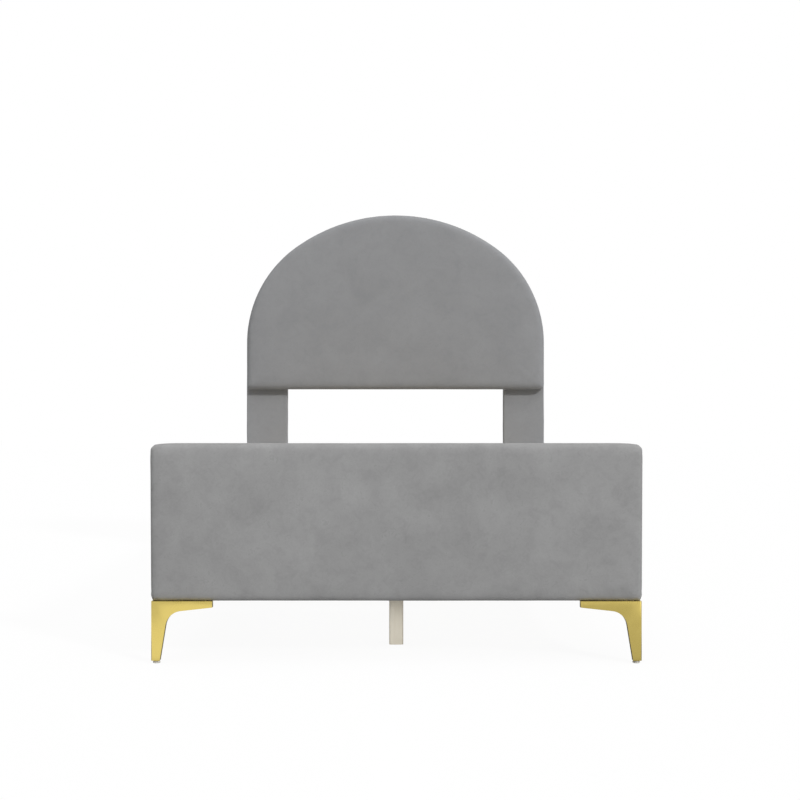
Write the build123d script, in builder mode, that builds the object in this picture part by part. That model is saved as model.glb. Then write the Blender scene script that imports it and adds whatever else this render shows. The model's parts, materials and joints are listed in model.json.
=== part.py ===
"""Upholstered platform bed with an arched headboard, in millimetres.

X runs across the bed, Y from the foot end to the head end, and Z up from the floor.
The origin is on the floor, under the middle of the bed.
"""

from build123d import *
import math
import os

os.makedirs("parts", exist_ok=True)

# Overall sizes
bed_width = 1040
bed_length = 2080
underside_height = 131
footboard_height = 332
footboard_thickness = 60
rail_height = 240
rail_thickness = 30
panel_bottom = 592
panel_height = 606
panel_thickness = 50
post_thickness = 45

# Clearances shared by many pieces
layer_gap = 0.3
hole_gap = 0.1
bolt_gap = 0.5
seat_gap = 0.3
overrun = 5

# Upholstery
fabric = 1.5
crown = 4
crown_reach = 60
mid_crown_share = 0.25
roll_steps = 3
layer_roll_steps = 1
fabric_return = 45
edge_foam = 10

# Footboard
footboard_roll = 14
footboard_corner = 12
footboard_foot_corner = 5
corner_spread_share = 0.4
footboard_board = 18
board_corner = 8

# Headboard: a straight-sided arch struck from three centres
arch_spring = 162
arch_side_sweep = 54.4
panel_roll = 17
panel_corner = 14
panel_board = 18

# Posts behind the headboard
post_width = 141
post_rise = 178
post_edge = 6
post_bolt_shares = (0.31, 0.73)
post_bolt_recess = 6
post_recess_radius = 11

# Side rails and head rail
rail_board = 18
rail_top_foam = 6
rail_roll = 10
rail_inner_edge = 4
rail_return = 40
head_rail_board = 18
head_rail_edge = 3

# Slatted base
slat_count = 12
slat_width = 90
slat_thickness = 15
slat_edge = 2
slat_depth = 50
slat_end_gap = 3
slat_end_inset = 20
ledge_width = 25
ledge_height = 40
ledge_screw_shares = (0.08, 0.36, 0.64, 0.92)
beam_width = 32
beam_height = 60
beam_end_gap = 1
strap_width = 25
strap_thickness = 1.2
strap_inset = 240

# Centre legs
center_leg_width = 32
center_leg_edge = 3
center_leg_setback = 240

# Gold corner legs
leg_inset = 3
leg_wall = 2.5
leg_depth = 16
leg_corner_radius = 4
arm_length = 129
arm_tip_height = 13.2
arm_slope = 6.3
shank_slope = 9.3
foot_width = 18.4
elbow_radius = 36
leg_plate_side = 124
leg_plate = 3
foot_plate = 3
weld_nut_flats = 10
weld_nut_height = 5

# Places of the leg's screws, as shares of its top plate's side from the plate's outer corner
leg_screw_shares = ((0.4, 0.4), (0.14, 0.69), (0.3, 0.61))

# Levelling feet
foot_center = 10.6
foot_radius = 7.9
foot_height = 4.5
foot_taper = 18
foot_sides = 24
foot_hex_flats = 9
foot_hex_height = 1.2
stem_radius = 3
stem_sides = 8
stem_gap = 0.05
stem_above = 22

# Fasteners
bolt_sides = 6
nut_sides = 6
screw_sides = 6
bolt_radius = 4
bolt_head_radius = 7
bolt_head_height = 4.4
nut_radius = 7.5
nut_height = 6.5
screw_radius = 2.1
screw_head_radius = 4.2
screw_head_height = 2.2
pan_screw_length = 20
deck_screw_length = 38
hanger_bolt_in_leg = 40
hanger_bolt_in_beam = 30

# Corner blocks, brackets and beam hangers
block_side = 90
block_height = 40
bracket_plate = 3
bracket_arm = 50
bracket_height = 80
bracket_bend = 3
bracket_above = 5
bracket_hole_reach = 30
bracket_hole_pitch = 44
hanger_plate = 2
hanger_depth = 36
hanger_flange = 20
hanger_gap = 0.4
hanger_screw_share = 0.5

# Places that follow from the sizes
half_width = bed_width / 2
foot_front = -bed_length / 2
foot_back = foot_front + footboard_thickness
post_back = bed_length / 2
post_front = post_back - post_thickness
panel_front = post_front - panel_thickness
post_top = panel_bottom + post_rise
post_center = half_width - post_width / 2
rail_top = underside_height + rail_height
rail_inside = half_width - rail_thickness
rail_board_inside = rail_inside + fabric
rail_board_outside = rail_board_inside + rail_board
head_rail_thickness = head_rail_board + 2 * fabric
head_rail_front = post_front - head_rail_thickness
head_rail_half = rail_inside - layer_gap
footboard_board_back = foot_back - fabric
panel_board_back = post_front - fabric
slat_top = rail_top - slat_depth
slat_bottom = slat_top - slat_thickness
beam_bottom = slat_bottom - beam_height
bracket_bottom = underside_height + block_height + bracket_above
bracket_middle = bracket_bottom + bracket_height / 2
plate_corner_x = half_width - leg_inset
plate_corner_y = post_back - leg_inset
leg_floor_gap = foot_height + foot_hex_height + seat_gap
leg_height = underside_height - leg_floor_gap
post_board = post_thickness - 2 * fabric
foot_bolt_length = bracket_plate + fabric + footboard_board
head_bolt_length = bracket_plate + head_rail_thickness + fabric + post_board
rail_bolt_length = bracket_plate + rail_board

# The arch's two radii, and their centres, close its outline over the straight sides
arch_rise = panel_height - arch_spring
sweep_cos = math.cos(math.radians(arch_side_sweep))
sweep_sin = math.sin(math.radians(arch_side_sweep))
center_distance = (half_width - arch_rise) / (sweep_cos + sweep_sin - 1)
side_center = center_distance * sweep_cos
top_center = -center_distance * sweep_sin


def rear_face(x, z, y):
    """Plane on a face that looks to the head end."""
    return Plane(origin=(x, y, z), x_dir=(1, 0, 0), z_dir=(0, 1, 0))


def foot_face(x, z, y):
    """Plane on a face that looks to the foot end."""
    return Plane(origin=(x, y, z), x_dir=(1, 0, 0), z_dir=(0, -1, 0))


def under_face(x, y, z):
    """Plane on a face that looks at the floor."""
    return Plane(origin=(x, y, z), x_dir=(1, 0, 0), z_dir=(0, 0, -1))


# Padded forms

def roll_sections(roll, shift):
    """Inset and fall of each section, from the front face round to the straight edge.

    Shift moves the surface inwards. The outside is crowned, by the wadding on the velvet's back,
    and what lies under that is flat.
    """
    start = 0 if shift else math.atan2(2 * crown, crown_reach - roll)
    steps = layer_roll_steps if shift else roll_steps
    rolled = []
    for step in range(steps + 1):
        angle = start + (math.pi / 2 - start) * step / steps
        inset = roll - (roll - shift) * math.sin(angle)
        fall = crown + roll - (roll - shift) * math.cos(angle)
        rolled.append((inset, fall))
    if shift:
        return rolled
    edge_inset, edge_fall = rolled[0]
    middle = ((crown_reach + edge_inset) / 2, mid_crown_share * edge_fall)
    return [(crown_reach, 0), middle] + rolled


def padded_form(outline, roll, front, back, shift):
    """Loft a padded panel: its front face rolls over the edges and runs straight back."""
    with BuildPart() as form:
        for inset, fall in roll_sections(roll, shift):
            with BuildSketch(Plane.XZ.offset(-front - fall)):
                add(outline(inset, shift))
        with BuildSketch(Plane.XZ.offset(-back)):
            add(outline(shift, shift))
        loft(ruled=True)
    return form.part


def footboard_outline(inset, shift):
    """The footboard's face, moved inwards by inset, with corners that open up towards the crown."""
    spread = corner_spread_share * (inset - shift) - shift
    with BuildSketch() as face:
        with Locations((0, underside_height + footboard_height / 2)):
            Rectangle(bed_width - 2 * inset, footboard_height - 2 * inset)
        corners = face.vertices().group_by(Axis.Y)
        fillet(corners[0], footboard_foot_corner + spread)
        fillet(corners[-1], footboard_corner + spread)
    return face.sketch


def arch_outline(inset, shift):
    """The headboard's face, moved inwards by inset: two side arcs and a flatter one over the top."""
    side = half_width - inset
    bottom = panel_bottom + inset
    spring = panel_bottom + arch_spring
    corner = panel_corner - shift + corner_spread_share * (inset - shift)
    with BuildSketch() as face:
        with BuildLine():
            Line((-side, spring), (-side, bottom))
            Line((-side, bottom), (side, bottom))
            Line((side, bottom), (side, spring))
            CenterArc((side_center, spring), side - side_center, 0, arch_side_sweep)
            CenterArc(
                (0, spring + top_center),
                arch_rise - top_center - inset,
                arch_side_sweep,
                180 - 2 * arch_side_sweep,
            )
            CenterArc(
                (-side_center, spring),
                side - side_center,
                180 - arch_side_sweep,
                arch_side_sweep,
            )
        make_face()
        fillet(face.vertices().group_by(Axis.Y)[0], corner)
    return face.sketch


# Fasteners and their holes, drawn with flats at the origin: seats on XY, shanks and holes below

def flatted_rod(radius, sides, top, bottom):
    """A straight rod between two heights, its corners at the radius."""
    with BuildPart() as rod:
        with BuildSketch(Plane.XY.offset(top)):
            RegularPolygon(radius, sides)
        extrude(amount=bottom - top)
    return rod.part


def bolt(length):
    """A machine bolt, its head above the seat."""
    with BuildPart() as form:
        add(flatted_rod(bolt_radius, bolt_sides, 0, -length))
        add(flatted_rod(bolt_head_radius, bolt_sides, bolt_head_height, 0))
    return form.part


def pan_screw(length):
    """A pan-head wood screw, its head above the seat."""
    with BuildPart() as form:
        add(flatted_rod(screw_radius, screw_sides, 0, -length))
        add(flatted_rod(screw_head_radius, screw_sides, screw_head_height, 0))
    return form.part


def flat_screw(length):
    """A countersunk wood screw, its head flush with the seat."""
    head = screw_head_radius - screw_radius
    with BuildPart() as form:
        add(flatted_rod(screw_radius, screw_sides, 0, -length))
        with BuildSketch(Plane.XY.offset(-head)):
            RegularPolygon(screw_radius, screw_sides)
        with BuildSketch(Plane.XY):
            RegularPolygon(screw_head_radius, screw_sides)
        loft(ruled=True)
    return form.part


def nut():
    """A hexagon nut let in flush with its seat."""
    with BuildPart() as form:
        add(flatted_rod(nut_radius, nut_sides, 0, -nut_height))
        add(bolt_hole(nut_height, hole_gap), mode=Mode.SUBTRACT)
    return form.part


def bolt_hole(depth, gap):
    """What a bolt's hole takes out."""
    return flatted_rod(bolt_radius + gap, bolt_sides, overrun, -depth)


def nut_pocket(depth):
    """What a flush nut and the bolt behind it take out."""
    with BuildPart() as form:
        add(flatted_rod(nut_radius + hole_gap, nut_sides, overrun, -nut_height))
        add(bolt_hole(depth, bolt_gap))
    return form.part


def screw_hole(depth):
    """What a screw's shank takes out."""
    return flatted_rod(screw_radius + hole_gap, screw_sides, overrun, -depth)


def countersunk_hole(depth):
    """What a countersunk screw takes out, its head included."""
    head = screw_head_radius - screw_radius
    with BuildPart() as form:
        add(screw_hole(depth))
        with BuildSketch(Plane.XY.offset(-head)):
            RegularPolygon(screw_radius + hole_gap, screw_sides)
        with BuildSketch(Plane.XY):
            RegularPolygon(screw_head_radius + hole_gap, screw_sides)
        loft(ruled=True)
    return form.part


# Places of the fasteners

def bracket_seats(side, end):
    """Planes under the heads of one corner bracket's bolts: two on the end arm, two on the rail arm."""
    wall = foot_back if end < 0 else head_rail_front
    arm_x = side * (rail_board_inside - bracket_hole_reach)
    arm_y = wall - end * bracket_hole_reach
    heights = (bracket_middle - bracket_hole_pitch / 2, bracket_middle + bracket_hole_pitch / 2)
    on_end = [
        Plane(
            origin=(arm_x, wall - end * bracket_plate, height),
            x_dir=(1, 0, 0),
            z_dir=(0, -end, 0),
        )
        for height in heights
    ]
    on_rail = [
        Plane(
            origin=(side * (rail_board_inside - bracket_plate), arm_y, height),
            x_dir=(0, 1, 0),
            z_dir=(-side, 0, 0),
        )
        for height in heights
    ]
    return on_end, on_rail


corner_signs = [(side, end) for side in (-1, 1) for end in (-1, 1)]

leg_screw_places = [
    (
        side * (plate_corner_x - across * leg_plate_side),
        end * (plate_corner_y - along * leg_plate_side),
    )
    for side, end in corner_signs
    for across, along in leg_screw_shares
]

hanger_screw_x = beam_width / 2 + hanger_gap + hanger_plate + hanger_flange / 2
hanger_screw_places = [
    (side * hanger_screw_x, beam_bottom + hanger_screw_share * beam_height)
    for side in (-1, 1)
]

post_bolt_places = [
    (side * post_center, panel_bottom + share * post_rise)
    for side in (-1, 1)
    for share in post_bolt_shares
]

slat_span = head_rail_front - foot_back - 2 * slat_end_inset - slat_width
slat_rows = [
    foot_back + slat_end_inset + slat_width / 2 + slat_span * row / (slat_count - 1)
    for row in range(slat_count)
]
ledge_middle = rail_board_inside - ledge_width / 2
end_slat_screws = [
    (side * ledge_middle, row) for row in (slat_rows[0], slat_rows[-1]) for side in (-1, 1)
]
ledge_screw_rows = [foot_back + share * (head_rail_front - foot_back) for share in ledge_screw_shares]
ledge_screw_height = slat_bottom - ledge_height / 2


def ledge_screw_planes(side):
    """Planes on the inner face of one ledge, under the heads of the screws that hold it."""
    return [
        Plane(
            origin=(side * (rail_board_inside - ledge_width), row, ledge_screw_height),
            x_dir=(0, 1, 0),
            z_dir=(-side, 0, 0),
        )
        for row in ledge_screw_rows
    ]


center_leg_end = bed_length / 2 - center_leg_setback - center_leg_width / 2
center_leg_rows = (-center_leg_end, 0, center_leg_end)


def leg_screw_holes():
    """Pilot holes for the leg screws, up from the underside of the frame."""
    with Locations(*[under_face(x, y, underside_height) for x, y in leg_screw_places]):
        add(screw_hole(pan_screw_length), mode=Mode.SUBTRACT)


# Footboard

with BuildPart() as footboard_cover:
    add(padded_form(footboard_outline, footboard_roll, foot_front, foot_back, 0))
    add(
        padded_form(footboard_outline, footboard_roll, foot_front, foot_back - fabric, fabric),
        mode=Mode.SUBTRACT,
    )
    with BuildSketch(rear_face(0, underside_height + footboard_height / 2, foot_back)):
        Rectangle(bed_width - 2 * fabric_return, footboard_height - 2 * fabric_return)
    extrude(amount=-fabric, mode=Mode.SUBTRACT)
    leg_screw_holes()
footboard_cover.part.label = "footboard_cover"
export_step(footboard_cover.part, "parts/footboard_cover.step")

board_inset = fabric + layer_gap + edge_foam
board_half = half_width - board_inset
board_bottom = underside_height + fabric
board_top = underside_height + footboard_height - board_inset
footboard_board_front = footboard_board_back - footboard_board
foot_bolt_planes = [
    plane for side in (-1, 1) for plane in bracket_seats(side, -1)[0]
]

with BuildPart() as footboard_core:
    with BuildSketch(rear_face(0, (board_bottom + board_top) / 2, footboard_board_back)):
        RectangleRounded(2 * board_half, board_top - board_bottom, board_corner)
    extrude(amount=-footboard_board)
    with Locations(
        *[
            foot_face(plane.origin.X, plane.origin.Z, footboard_board_front)
            for plane in foot_bolt_planes
        ]
    ):
        add(nut_pocket(footboard_thickness / 2), mode=Mode.SUBTRACT)
    leg_screw_holes()
    with Locations(*[rear_face(x, z, foot_back) for x, z in hanger_screw_places]):
        add(screw_hole(pan_screw_length), mode=Mode.SUBTRACT)
footboard_core.part.label = "footboard_core"
export_step(footboard_core.part, "parts/footboard_core.step")

with BuildPart() as footboard_foam:
    add(
        padded_form(
            footboard_outline,
            footboard_roll,
            foot_front,
            footboard_board_back,
            fabric + layer_gap,
        )
    )
    with BuildSketch(Plane.XZ.offset(-footboard_board_back)):
        with Locations((0, board_top + layer_gap)):
            Rectangle(
                2 * (board_half + layer_gap),
                footboard_height,
                align=(Align.CENTER, Align.MAX),
            )
    extrude(amount=footboard_board + layer_gap, mode=Mode.SUBTRACT)
footboard_foam.part.label = "footboard_foam"
export_step(footboard_foam.part, "parts/footboard_foam.step")

with BuildPart() as footboard_back_cloth:
    with BuildSketch(rear_face(0, underside_height + footboard_height / 2, foot_back)):
        Rectangle(
            bed_width - 2 * fabric_return - 2 * layer_gap,
            footboard_height - 2 * fabric_return - 2 * layer_gap,
        )
    extrude(amount=-fabric)
    with Locations(*foot_bolt_planes):
        add(bolt_hole(foot_bolt_length, bolt_gap), mode=Mode.SUBTRACT)
    with Locations(*[rear_face(x, z, foot_back) for x, z in hanger_screw_places]):
        add(screw_hole(pan_screw_length), mode=Mode.SUBTRACT)
footboard_back_cloth.part.label = "footboard_back_cloth"
export_step(footboard_back_cloth.part, "parts/footboard_back_cloth.step")

# Headboard

with BuildPart() as headboard_cover:
    add(padded_form(arch_outline, panel_roll, panel_front, post_front, 0))
    add(
        padded_form(arch_outline, panel_roll, panel_front, post_front - fabric, fabric),
        mode=Mode.SUBTRACT,
    )
    with BuildSketch(Plane.XZ.offset(-post_front)):
        add(arch_outline(fabric_return, 0))
    extrude(amount=fabric, mode=Mode.SUBTRACT)
headboard_cover.part.label = "headboard_cover"
export_step(headboard_cover.part, "parts/headboard_cover.step")

panel_board_front = panel_board_back - panel_board

with BuildPart() as headboard_core:
    with BuildSketch(Plane.XZ.offset(-panel_board_back)):
        add(arch_outline(board_inset, 0))
    extrude(amount=panel_board)
    with Locations(*[foot_face(x, z, panel_board_front) for x, z in post_bolt_places]):
        add(nut_pocket(panel_thickness), mode=Mode.SUBTRACT)
headboard_core.part.label = "headboard_core"
export_step(headboard_core.part, "parts/headboard_core.step")

with BuildPart() as headboard_foam:
    add(
        padded_form(
            arch_outline, panel_roll, panel_front, panel_board_back, fabric + layer_gap
        )
    )
    with BuildSketch(Plane.XZ.offset(-panel_board_back)):
        add(arch_outline(board_inset - layer_gap, 0))
    extrude(amount=panel_board + layer_gap, mode=Mode.SUBTRACT)
headboard_foam.part.label = "headboard_foam"
export_step(headboard_foam.part, "parts/headboard_foam.step")

with BuildPart() as headboard_back_cloth:
    with BuildSketch(Plane.XZ.offset(-post_front)):
        add(arch_outline(fabric_return + layer_gap, 0))
    extrude(amount=fabric)
    with Locations(*[rear_face(x, z, post_front) for x, z in post_bolt_places]):
        add(bolt_hole(panel_thickness, bolt_gap), mode=Mode.SUBTRACT)
headboard_back_cloth.part.label = "headboard_back_cloth"
export_step(headboard_back_cloth.part, "parts/headboard_back_cloth.step")

# Posts, one each side, standing behind the panel

post_height = post_top - underside_height
post_middle = post_front + post_thickness / 2


def bolt_recess():
    """What a post bolt takes out of the post, its sunk head included."""
    with BuildPart() as form:
        add(flatted_rod(post_recess_radius, bolt_sides, overrun, -post_bolt_recess))
        add(bolt_hole(post_thickness + overrun, bolt_gap))
    return form.part


for side, side_name in ((-1, "left"), (1, "right")):
    own_bolts = [rear_face(x, z, post_back) for x, z in post_bolt_places if x * side > 0]
    head_seats = bracket_seats(side, 1)[0]

    with BuildPart() as post_cover:
        with BuildSketch(Plane.XY.offset(underside_height)):
            with Locations((side * post_center, post_middle)):
                RectangleRounded(post_width, post_thickness, post_edge)
        extrude(amount=post_height)
        with BuildSketch(Plane.XY.offset(underside_height + fabric)) as core_section:
            with Locations((side * post_center, post_middle)):
                Rectangle(post_width - 2 * fabric, post_board)
            chamfer(core_section.vertices(), post_edge / 2)
        extrude(amount=post_height - 2 * fabric, mode=Mode.SUBTRACT)
        with Locations(*own_bolts):
            add(bolt_recess(), mode=Mode.SUBTRACT)
        with Locations(*head_seats):
            add(bolt_hole(head_bolt_length / 2, bolt_gap), mode=Mode.SUBTRACT)
    post_cover.part.label = f"{side_name}_post_cover"
    export_step(post_cover.part, f"parts/{side_name}_post_cover.step")

    with BuildPart() as post_core:
        with BuildSketch(Plane.XY.offset(underside_height + fabric)) as core_section:
            with Locations((side * post_center, post_middle)):
                Rectangle(post_width - 2 * fabric, post_board)
            chamfer(core_section.vertices(), post_edge / 2)
        extrude(amount=post_height - 2 * fabric)
        with Locations(*own_bolts):
            add(bolt_recess(), mode=Mode.SUBTRACT)
        with Locations(
            *[rear_face(seat.origin.X, seat.origin.Z, post_back - fabric) for seat in head_seats]
        ):
            add(nut_pocket(post_thickness), mode=Mode.SUBTRACT)
    post_core.part.label = f"{side_name}_post_core"
    export_step(post_core.part, f"parts/{side_name}_post_core.step")

post_bolt_length = post_thickness - post_bolt_recess + fabric + panel_board

with BuildPart() as post_bolts:
    with Locations(
        *[rear_face(x, z, post_back - post_bolt_recess) for x, z in post_bolt_places]
    ):
        add(bolt(post_bolt_length))
post_bolts.part.label = "post_bolts"
export_step(post_bolts.part, "parts/post_bolts.step")

with BuildPart() as post_nuts:
    with Locations(*[foot_face(x, z, panel_board_front) for x, z in post_bolt_places]):
        add(nut())
post_nuts.part.label = "post_nuts"
export_step(post_nuts.part, "parts/post_nuts.step")

# Side rails, drawn for the right side and mirrored

rail_length = post_front - foot_back
rail_middle = underside_height + rail_height / 2
rail_board_top = rail_top - fabric - rail_top_foam


def rail_outline(shift):
    """The rail's section, moved inwards by shift: rolled outer edges and tighter inner ones."""
    with BuildSketch() as section:
        with Locations((half_width - rail_thickness / 2, rail_middle)):
            Rectangle(rail_thickness - 2 * shift, rail_height - 2 * shift)
        fillet(section.vertices().group_by(Axis.X)[-1], rail_roll - shift)
        fillet(section.vertices().group_by(Axis.X)[0], rail_inner_edge - shift)
    return section.sketch


with BuildPart() as rail_cover:
    with BuildSketch(Plane.XZ.offset(-foot_back)):
        add(rail_outline(0))
        add(rail_outline(fabric), mode=Mode.SUBTRACT)
        with Locations((rail_inside, rail_middle)):
            Rectangle(2 * fabric, rail_height - 2 * rail_return, mode=Mode.SUBTRACT)
    extrude(amount=-rail_length)
    leg_screw_holes()

with BuildPart() as rail_foam:
    with BuildSketch(Plane.XZ.offset(-foot_back)):
        add(rail_outline(fabric + layer_gap))
        with Locations((rail_board_outside + layer_gap, rail_board_top + layer_gap)):
            Rectangle(
                rail_thickness, rail_height, align=(Align.MAX, Align.MAX), mode=Mode.SUBTRACT
            )
    extrude(amount=-rail_length)

with BuildPart() as rail_core:
    with BuildSketch(Plane.XZ.offset(-foot_back)) as section:
        with Locations((rail_board_inside, board_bottom)):
            Rectangle(
                rail_board, rail_board_top - board_bottom, align=(Align.MIN, Align.MIN)
            )
        fillet(section.vertices().group_by(Axis.X)[0], rail_inner_edge)
    extrude(amount=-rail_length)
    with Locations(
        *[
            Plane(
                origin=(rail_board_outside, seat.origin.Y, seat.origin.Z),
                x_dir=(0, 1, 0),
                z_dir=(1, 0, 0),
            )
            for end in (-1, 1)
            for seat in bracket_seats(1, end)[1]
        ]
    ):
        add(nut_pocket(rail_thickness), mode=Mode.SUBTRACT)
    leg_screw_holes()
    with Locations(*ledge_screw_planes(1)):
        add(screw_hole(deck_screw_length), mode=Mode.SUBTRACT)

with BuildPart() as slat_ledge:
    with BuildSketch(Plane.XZ.offset(-foot_back - beam_end_gap)):
        with Locations((rail_board_inside, slat_bottom)):
            Rectangle(ledge_width, ledge_height, align=(Align.MAX, Align.MAX))
    extrude(amount=foot_back - head_rail_front + 2 * beam_end_gap)
    with Locations(*ledge_screw_planes(1)):
        add(countersunk_hole(deck_screw_length), mode=Mode.SUBTRACT)
    with Locations(*[(x, y, slat_top) for x, y in end_slat_screws if x > 0]):
        add(screw_hole(deck_screw_length), mode=Mode.SUBTRACT)

rail_pieces = {
    "rail_cover": rail_cover,
    "rail_foam": rail_foam,
    "rail_board": rail_core,
    "slat_ledge": slat_ledge,
}
for name, right_piece in rail_pieces.items():
    right_piece.part.label = f"right_{name}"
    export_step(right_piece.part, f"parts/right_{name}.step")
    with BuildPart() as left_piece:
        mirror(right_piece.part, about=Plane.YZ)
    left_piece.part.label = f"left_{name}"
    export_step(left_piece.part, f"parts/left_{name}.step")

# Head rail, between the side rails against the posts

head_rail_middle = head_rail_front + head_rail_thickness / 2
head_seat_planes = [plane for side in (-1, 1) for plane in bracket_seats(side, 1)[0]]

with BuildPart() as head_rail_cover:
    with BuildSketch(Plane.YZ.offset(-head_rail_half)):
        with Locations((head_rail_middle, rail_middle)):
            RectangleRounded(head_rail_thickness, rail_height, head_rail_edge)
            Rectangle(head_rail_board, rail_height - 2 * fabric, mode=Mode.SUBTRACT)
    extrude(amount=2 * head_rail_half)
    with Locations(*head_seat_planes):
        add(bolt_hole(head_bolt_length, bolt_gap), mode=Mode.SUBTRACT)
    with Locations(*[foot_face(x, z, head_rail_front) for x, z in hanger_screw_places]):
        add(screw_hole(fabric), mode=Mode.SUBTRACT)
    leg_screw_holes()
head_rail_cover.part.label = "head_rail_cover"
export_step(head_rail_cover.part, "parts/head_rail_cover.step")

with BuildPart() as head_rail_core:
    with BuildSketch(Plane.YZ.offset(-head_rail_half)):
        with Locations((head_rail_middle, rail_middle)):
            Rectangle(head_rail_board, rail_height - 2 * fabric)
    extrude(amount=2 * head_rail_half)
    with Locations(*head_seat_planes):
        add(bolt_hole(head_bolt_length, bolt_gap), mode=Mode.SUBTRACT)
    with Locations(*[foot_face(x, z, head_rail_front) for x, z in hanger_screw_places]):
        add(screw_hole(pan_screw_length), mode=Mode.SUBTRACT)
    leg_screw_holes()
head_rail_core.part.label = "head_rail_board"
export_step(head_rail_core.part, "parts/head_rail_board.step")

# Corner blocks, brackets, their bolts and nuts

with BuildPart() as corner_blocks:
    for side, end in corner_signs:
        wall = foot_back if end < 0 else head_rail_front
        corner = (side * head_rail_half, wall)
        along_wall = (side * (head_rail_half - block_side), wall)
        along_rail = (side * head_rail_half, wall - end * block_side)
        with BuildSketch(Plane.XY.offset(underside_height)):
            with BuildLine():
                Polyline(corner, along_wall, along_rail, close=True)
            make_face()
        extrude(amount=block_height)
    leg_screw_holes()
corner_blocks.part.label = "corner_blocks"
export_step(corner_blocks.part, "parts/corner_blocks.step")

with BuildPart() as corner_brackets:
    for side, end in corner_signs:
        wall = foot_back if end < 0 else head_rail_front
        bend = (side * rail_board_inside, wall)
        inner_bend = (bend[0] - side * bracket_plate, wall - end * bracket_plate)
        end_arm = bend[0] - side * bracket_arm
        rail_arm = wall - end * bracket_arm
        with BuildSketch(Plane.XY.offset(bracket_bottom)) as angle_section:
            with BuildLine():
                Polyline(
                    bend,
                    (end_arm, wall),
                    (end_arm, inner_bend[1]),
                    inner_bend,
                    (inner_bend[0], rail_arm),
                    (bend[0], rail_arm),
                    close=True,
                )
            make_face()
            for corner in (bend, inner_bend):
                chamfer(angle_section.vertices().sort_by_distance(corner)[0], bracket_bend)
        extrude(amount=bracket_height)
        end_seats, rail_seats = bracket_seats(side, end)
        with Locations(*end_seats, *rail_seats):
            add(bolt_hole(2 * bracket_plate, bolt_gap), mode=Mode.SUBTRACT)
corner_brackets.part.label = "corner_brackets"
export_step(corner_brackets.part, "parts/corner_brackets.step")

with BuildPart() as bracket_bolts:
    for side, end in corner_signs:
        end_seats, rail_seats = bracket_seats(side, end)
        with Locations(*end_seats):
            add(bolt(foot_bolt_length if end < 0 else head_bolt_length))
        with Locations(*rail_seats):
            add(bolt(rail_bolt_length))
bracket_bolts.part.label = "bracket_bolts"
export_step(bracket_bolts.part, "parts/bracket_bolts.step")

with BuildPart() as bracket_nuts:
    for side, end in corner_signs:
        end_seats, rail_seats = bracket_seats(side, end)
        end_length = foot_bolt_length if end < 0 else head_bolt_length
        for seats, length in ((end_seats, end_length), (rail_seats, rail_bolt_length)):
            with Locations(
                *[
                    Plane(
                        origin=seat.origin - seat.z_dir * length,
                        x_dir=seat.x_dir,
                        z_dir=-seat.z_dir,
                    )
                    for seat in seats
                ]
            ):
                add(nut())
bracket_nuts.part.label = "bracket_nuts"
export_step(bracket_nuts.part, "parts/bracket_nuts.step")

# Centre beam, its hangers and legs

beam_length = head_rail_front - foot_back - 2 * beam_end_gap

with BuildPart() as center_beam:
    with BuildSketch(Plane.XZ.offset(-foot_back - beam_end_gap)):
        with Locations((0, beam_bottom)):
            Rectangle(beam_width, beam_height, align=(Align.CENTER, Align.MIN))
    extrude(amount=-beam_length)
    with Locations(*[under_face(0, row, beam_bottom) for row in center_leg_rows]):
        add(bolt_hole(hanger_bolt_in_beam, hole_gap), mode=Mode.SUBTRACT)
center_beam.part.label = "center_beam"
export_step(center_beam.part, "parts/center_beam.step")

leg_names = ("foot_center_leg", "middle_center_leg", "head_center_leg")
for row, leg_name in zip(center_leg_rows, leg_names):
    with BuildPart() as center_leg:
        with BuildSketch() as leg_section:
            with Locations((0, row)):
                Rectangle(center_leg_width, center_leg_width)
            chamfer(leg_section.vertices(), center_leg_edge)
        extrude(amount=beam_bottom)
        with Locations((0, row, beam_bottom)):
            add(bolt_hole(hanger_bolt_in_leg, hole_gap), mode=Mode.SUBTRACT)
    center_leg.part.label = leg_name
    export_step(center_leg.part, f"parts/{leg_name}.step")

with BuildPart() as center_leg_bolts:
    with Locations(*[(0, row, beam_bottom) for row in center_leg_rows]):
        add(flatted_rod(bolt_radius, bolt_sides, hanger_bolt_in_beam, -hanger_bolt_in_leg))
center_leg_bolts.part.label = "center_leg_bolts"
export_step(center_leg_bolts.part, "parts/center_leg_bolts.step")

cradle_width = beam_width + 2 * hanger_gap + 2 * hanger_plate
cradle_drop = hanger_gap + hanger_plate

for name, wall, end in (
    ("foot_beam_hanger", foot_back, -1),
    ("head_beam_hanger", head_rail_front, 1),
):
    with BuildPart() as beam_hanger:
        with BuildSketch(Plane.XZ.offset(-wall)):
            with Locations((0, beam_bottom)):
                Rectangle(
                    cradle_width + 2 * hanger_flange,
                    beam_height,
                    align=(Align.CENTER, Align.MIN),
                )
        extrude(amount=end * hanger_plate)
        with BuildSketch(Plane.XZ.offset(-wall)):
            with Locations((0, beam_bottom - cradle_drop)):
                Rectangle(
                    cradle_width,
                    beam_height + cradle_drop,
                    align=(Align.CENTER, Align.MIN),
                )
        extrude(amount=end * hanger_depth)
        with BuildSketch(Plane.XZ.offset(-wall)):
            with Locations((0, beam_bottom - hanger_gap)):
                Rectangle(
                    beam_width + 2 * hanger_gap,
                    beam_height + cradle_drop,
                    align=(Align.CENTER, Align.MIN),
                )
        extrude(amount=end * hanger_depth, mode=Mode.SUBTRACT)
        with Locations(*[rear_face(x, z, wall) for x, z in hanger_screw_places]):
            add(screw_hole(hanger_plate + overrun), mode=Mode.SUBTRACT)
    beam_hanger.part.label = name
    export_step(beam_hanger.part, f"parts/{name}.step")

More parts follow.
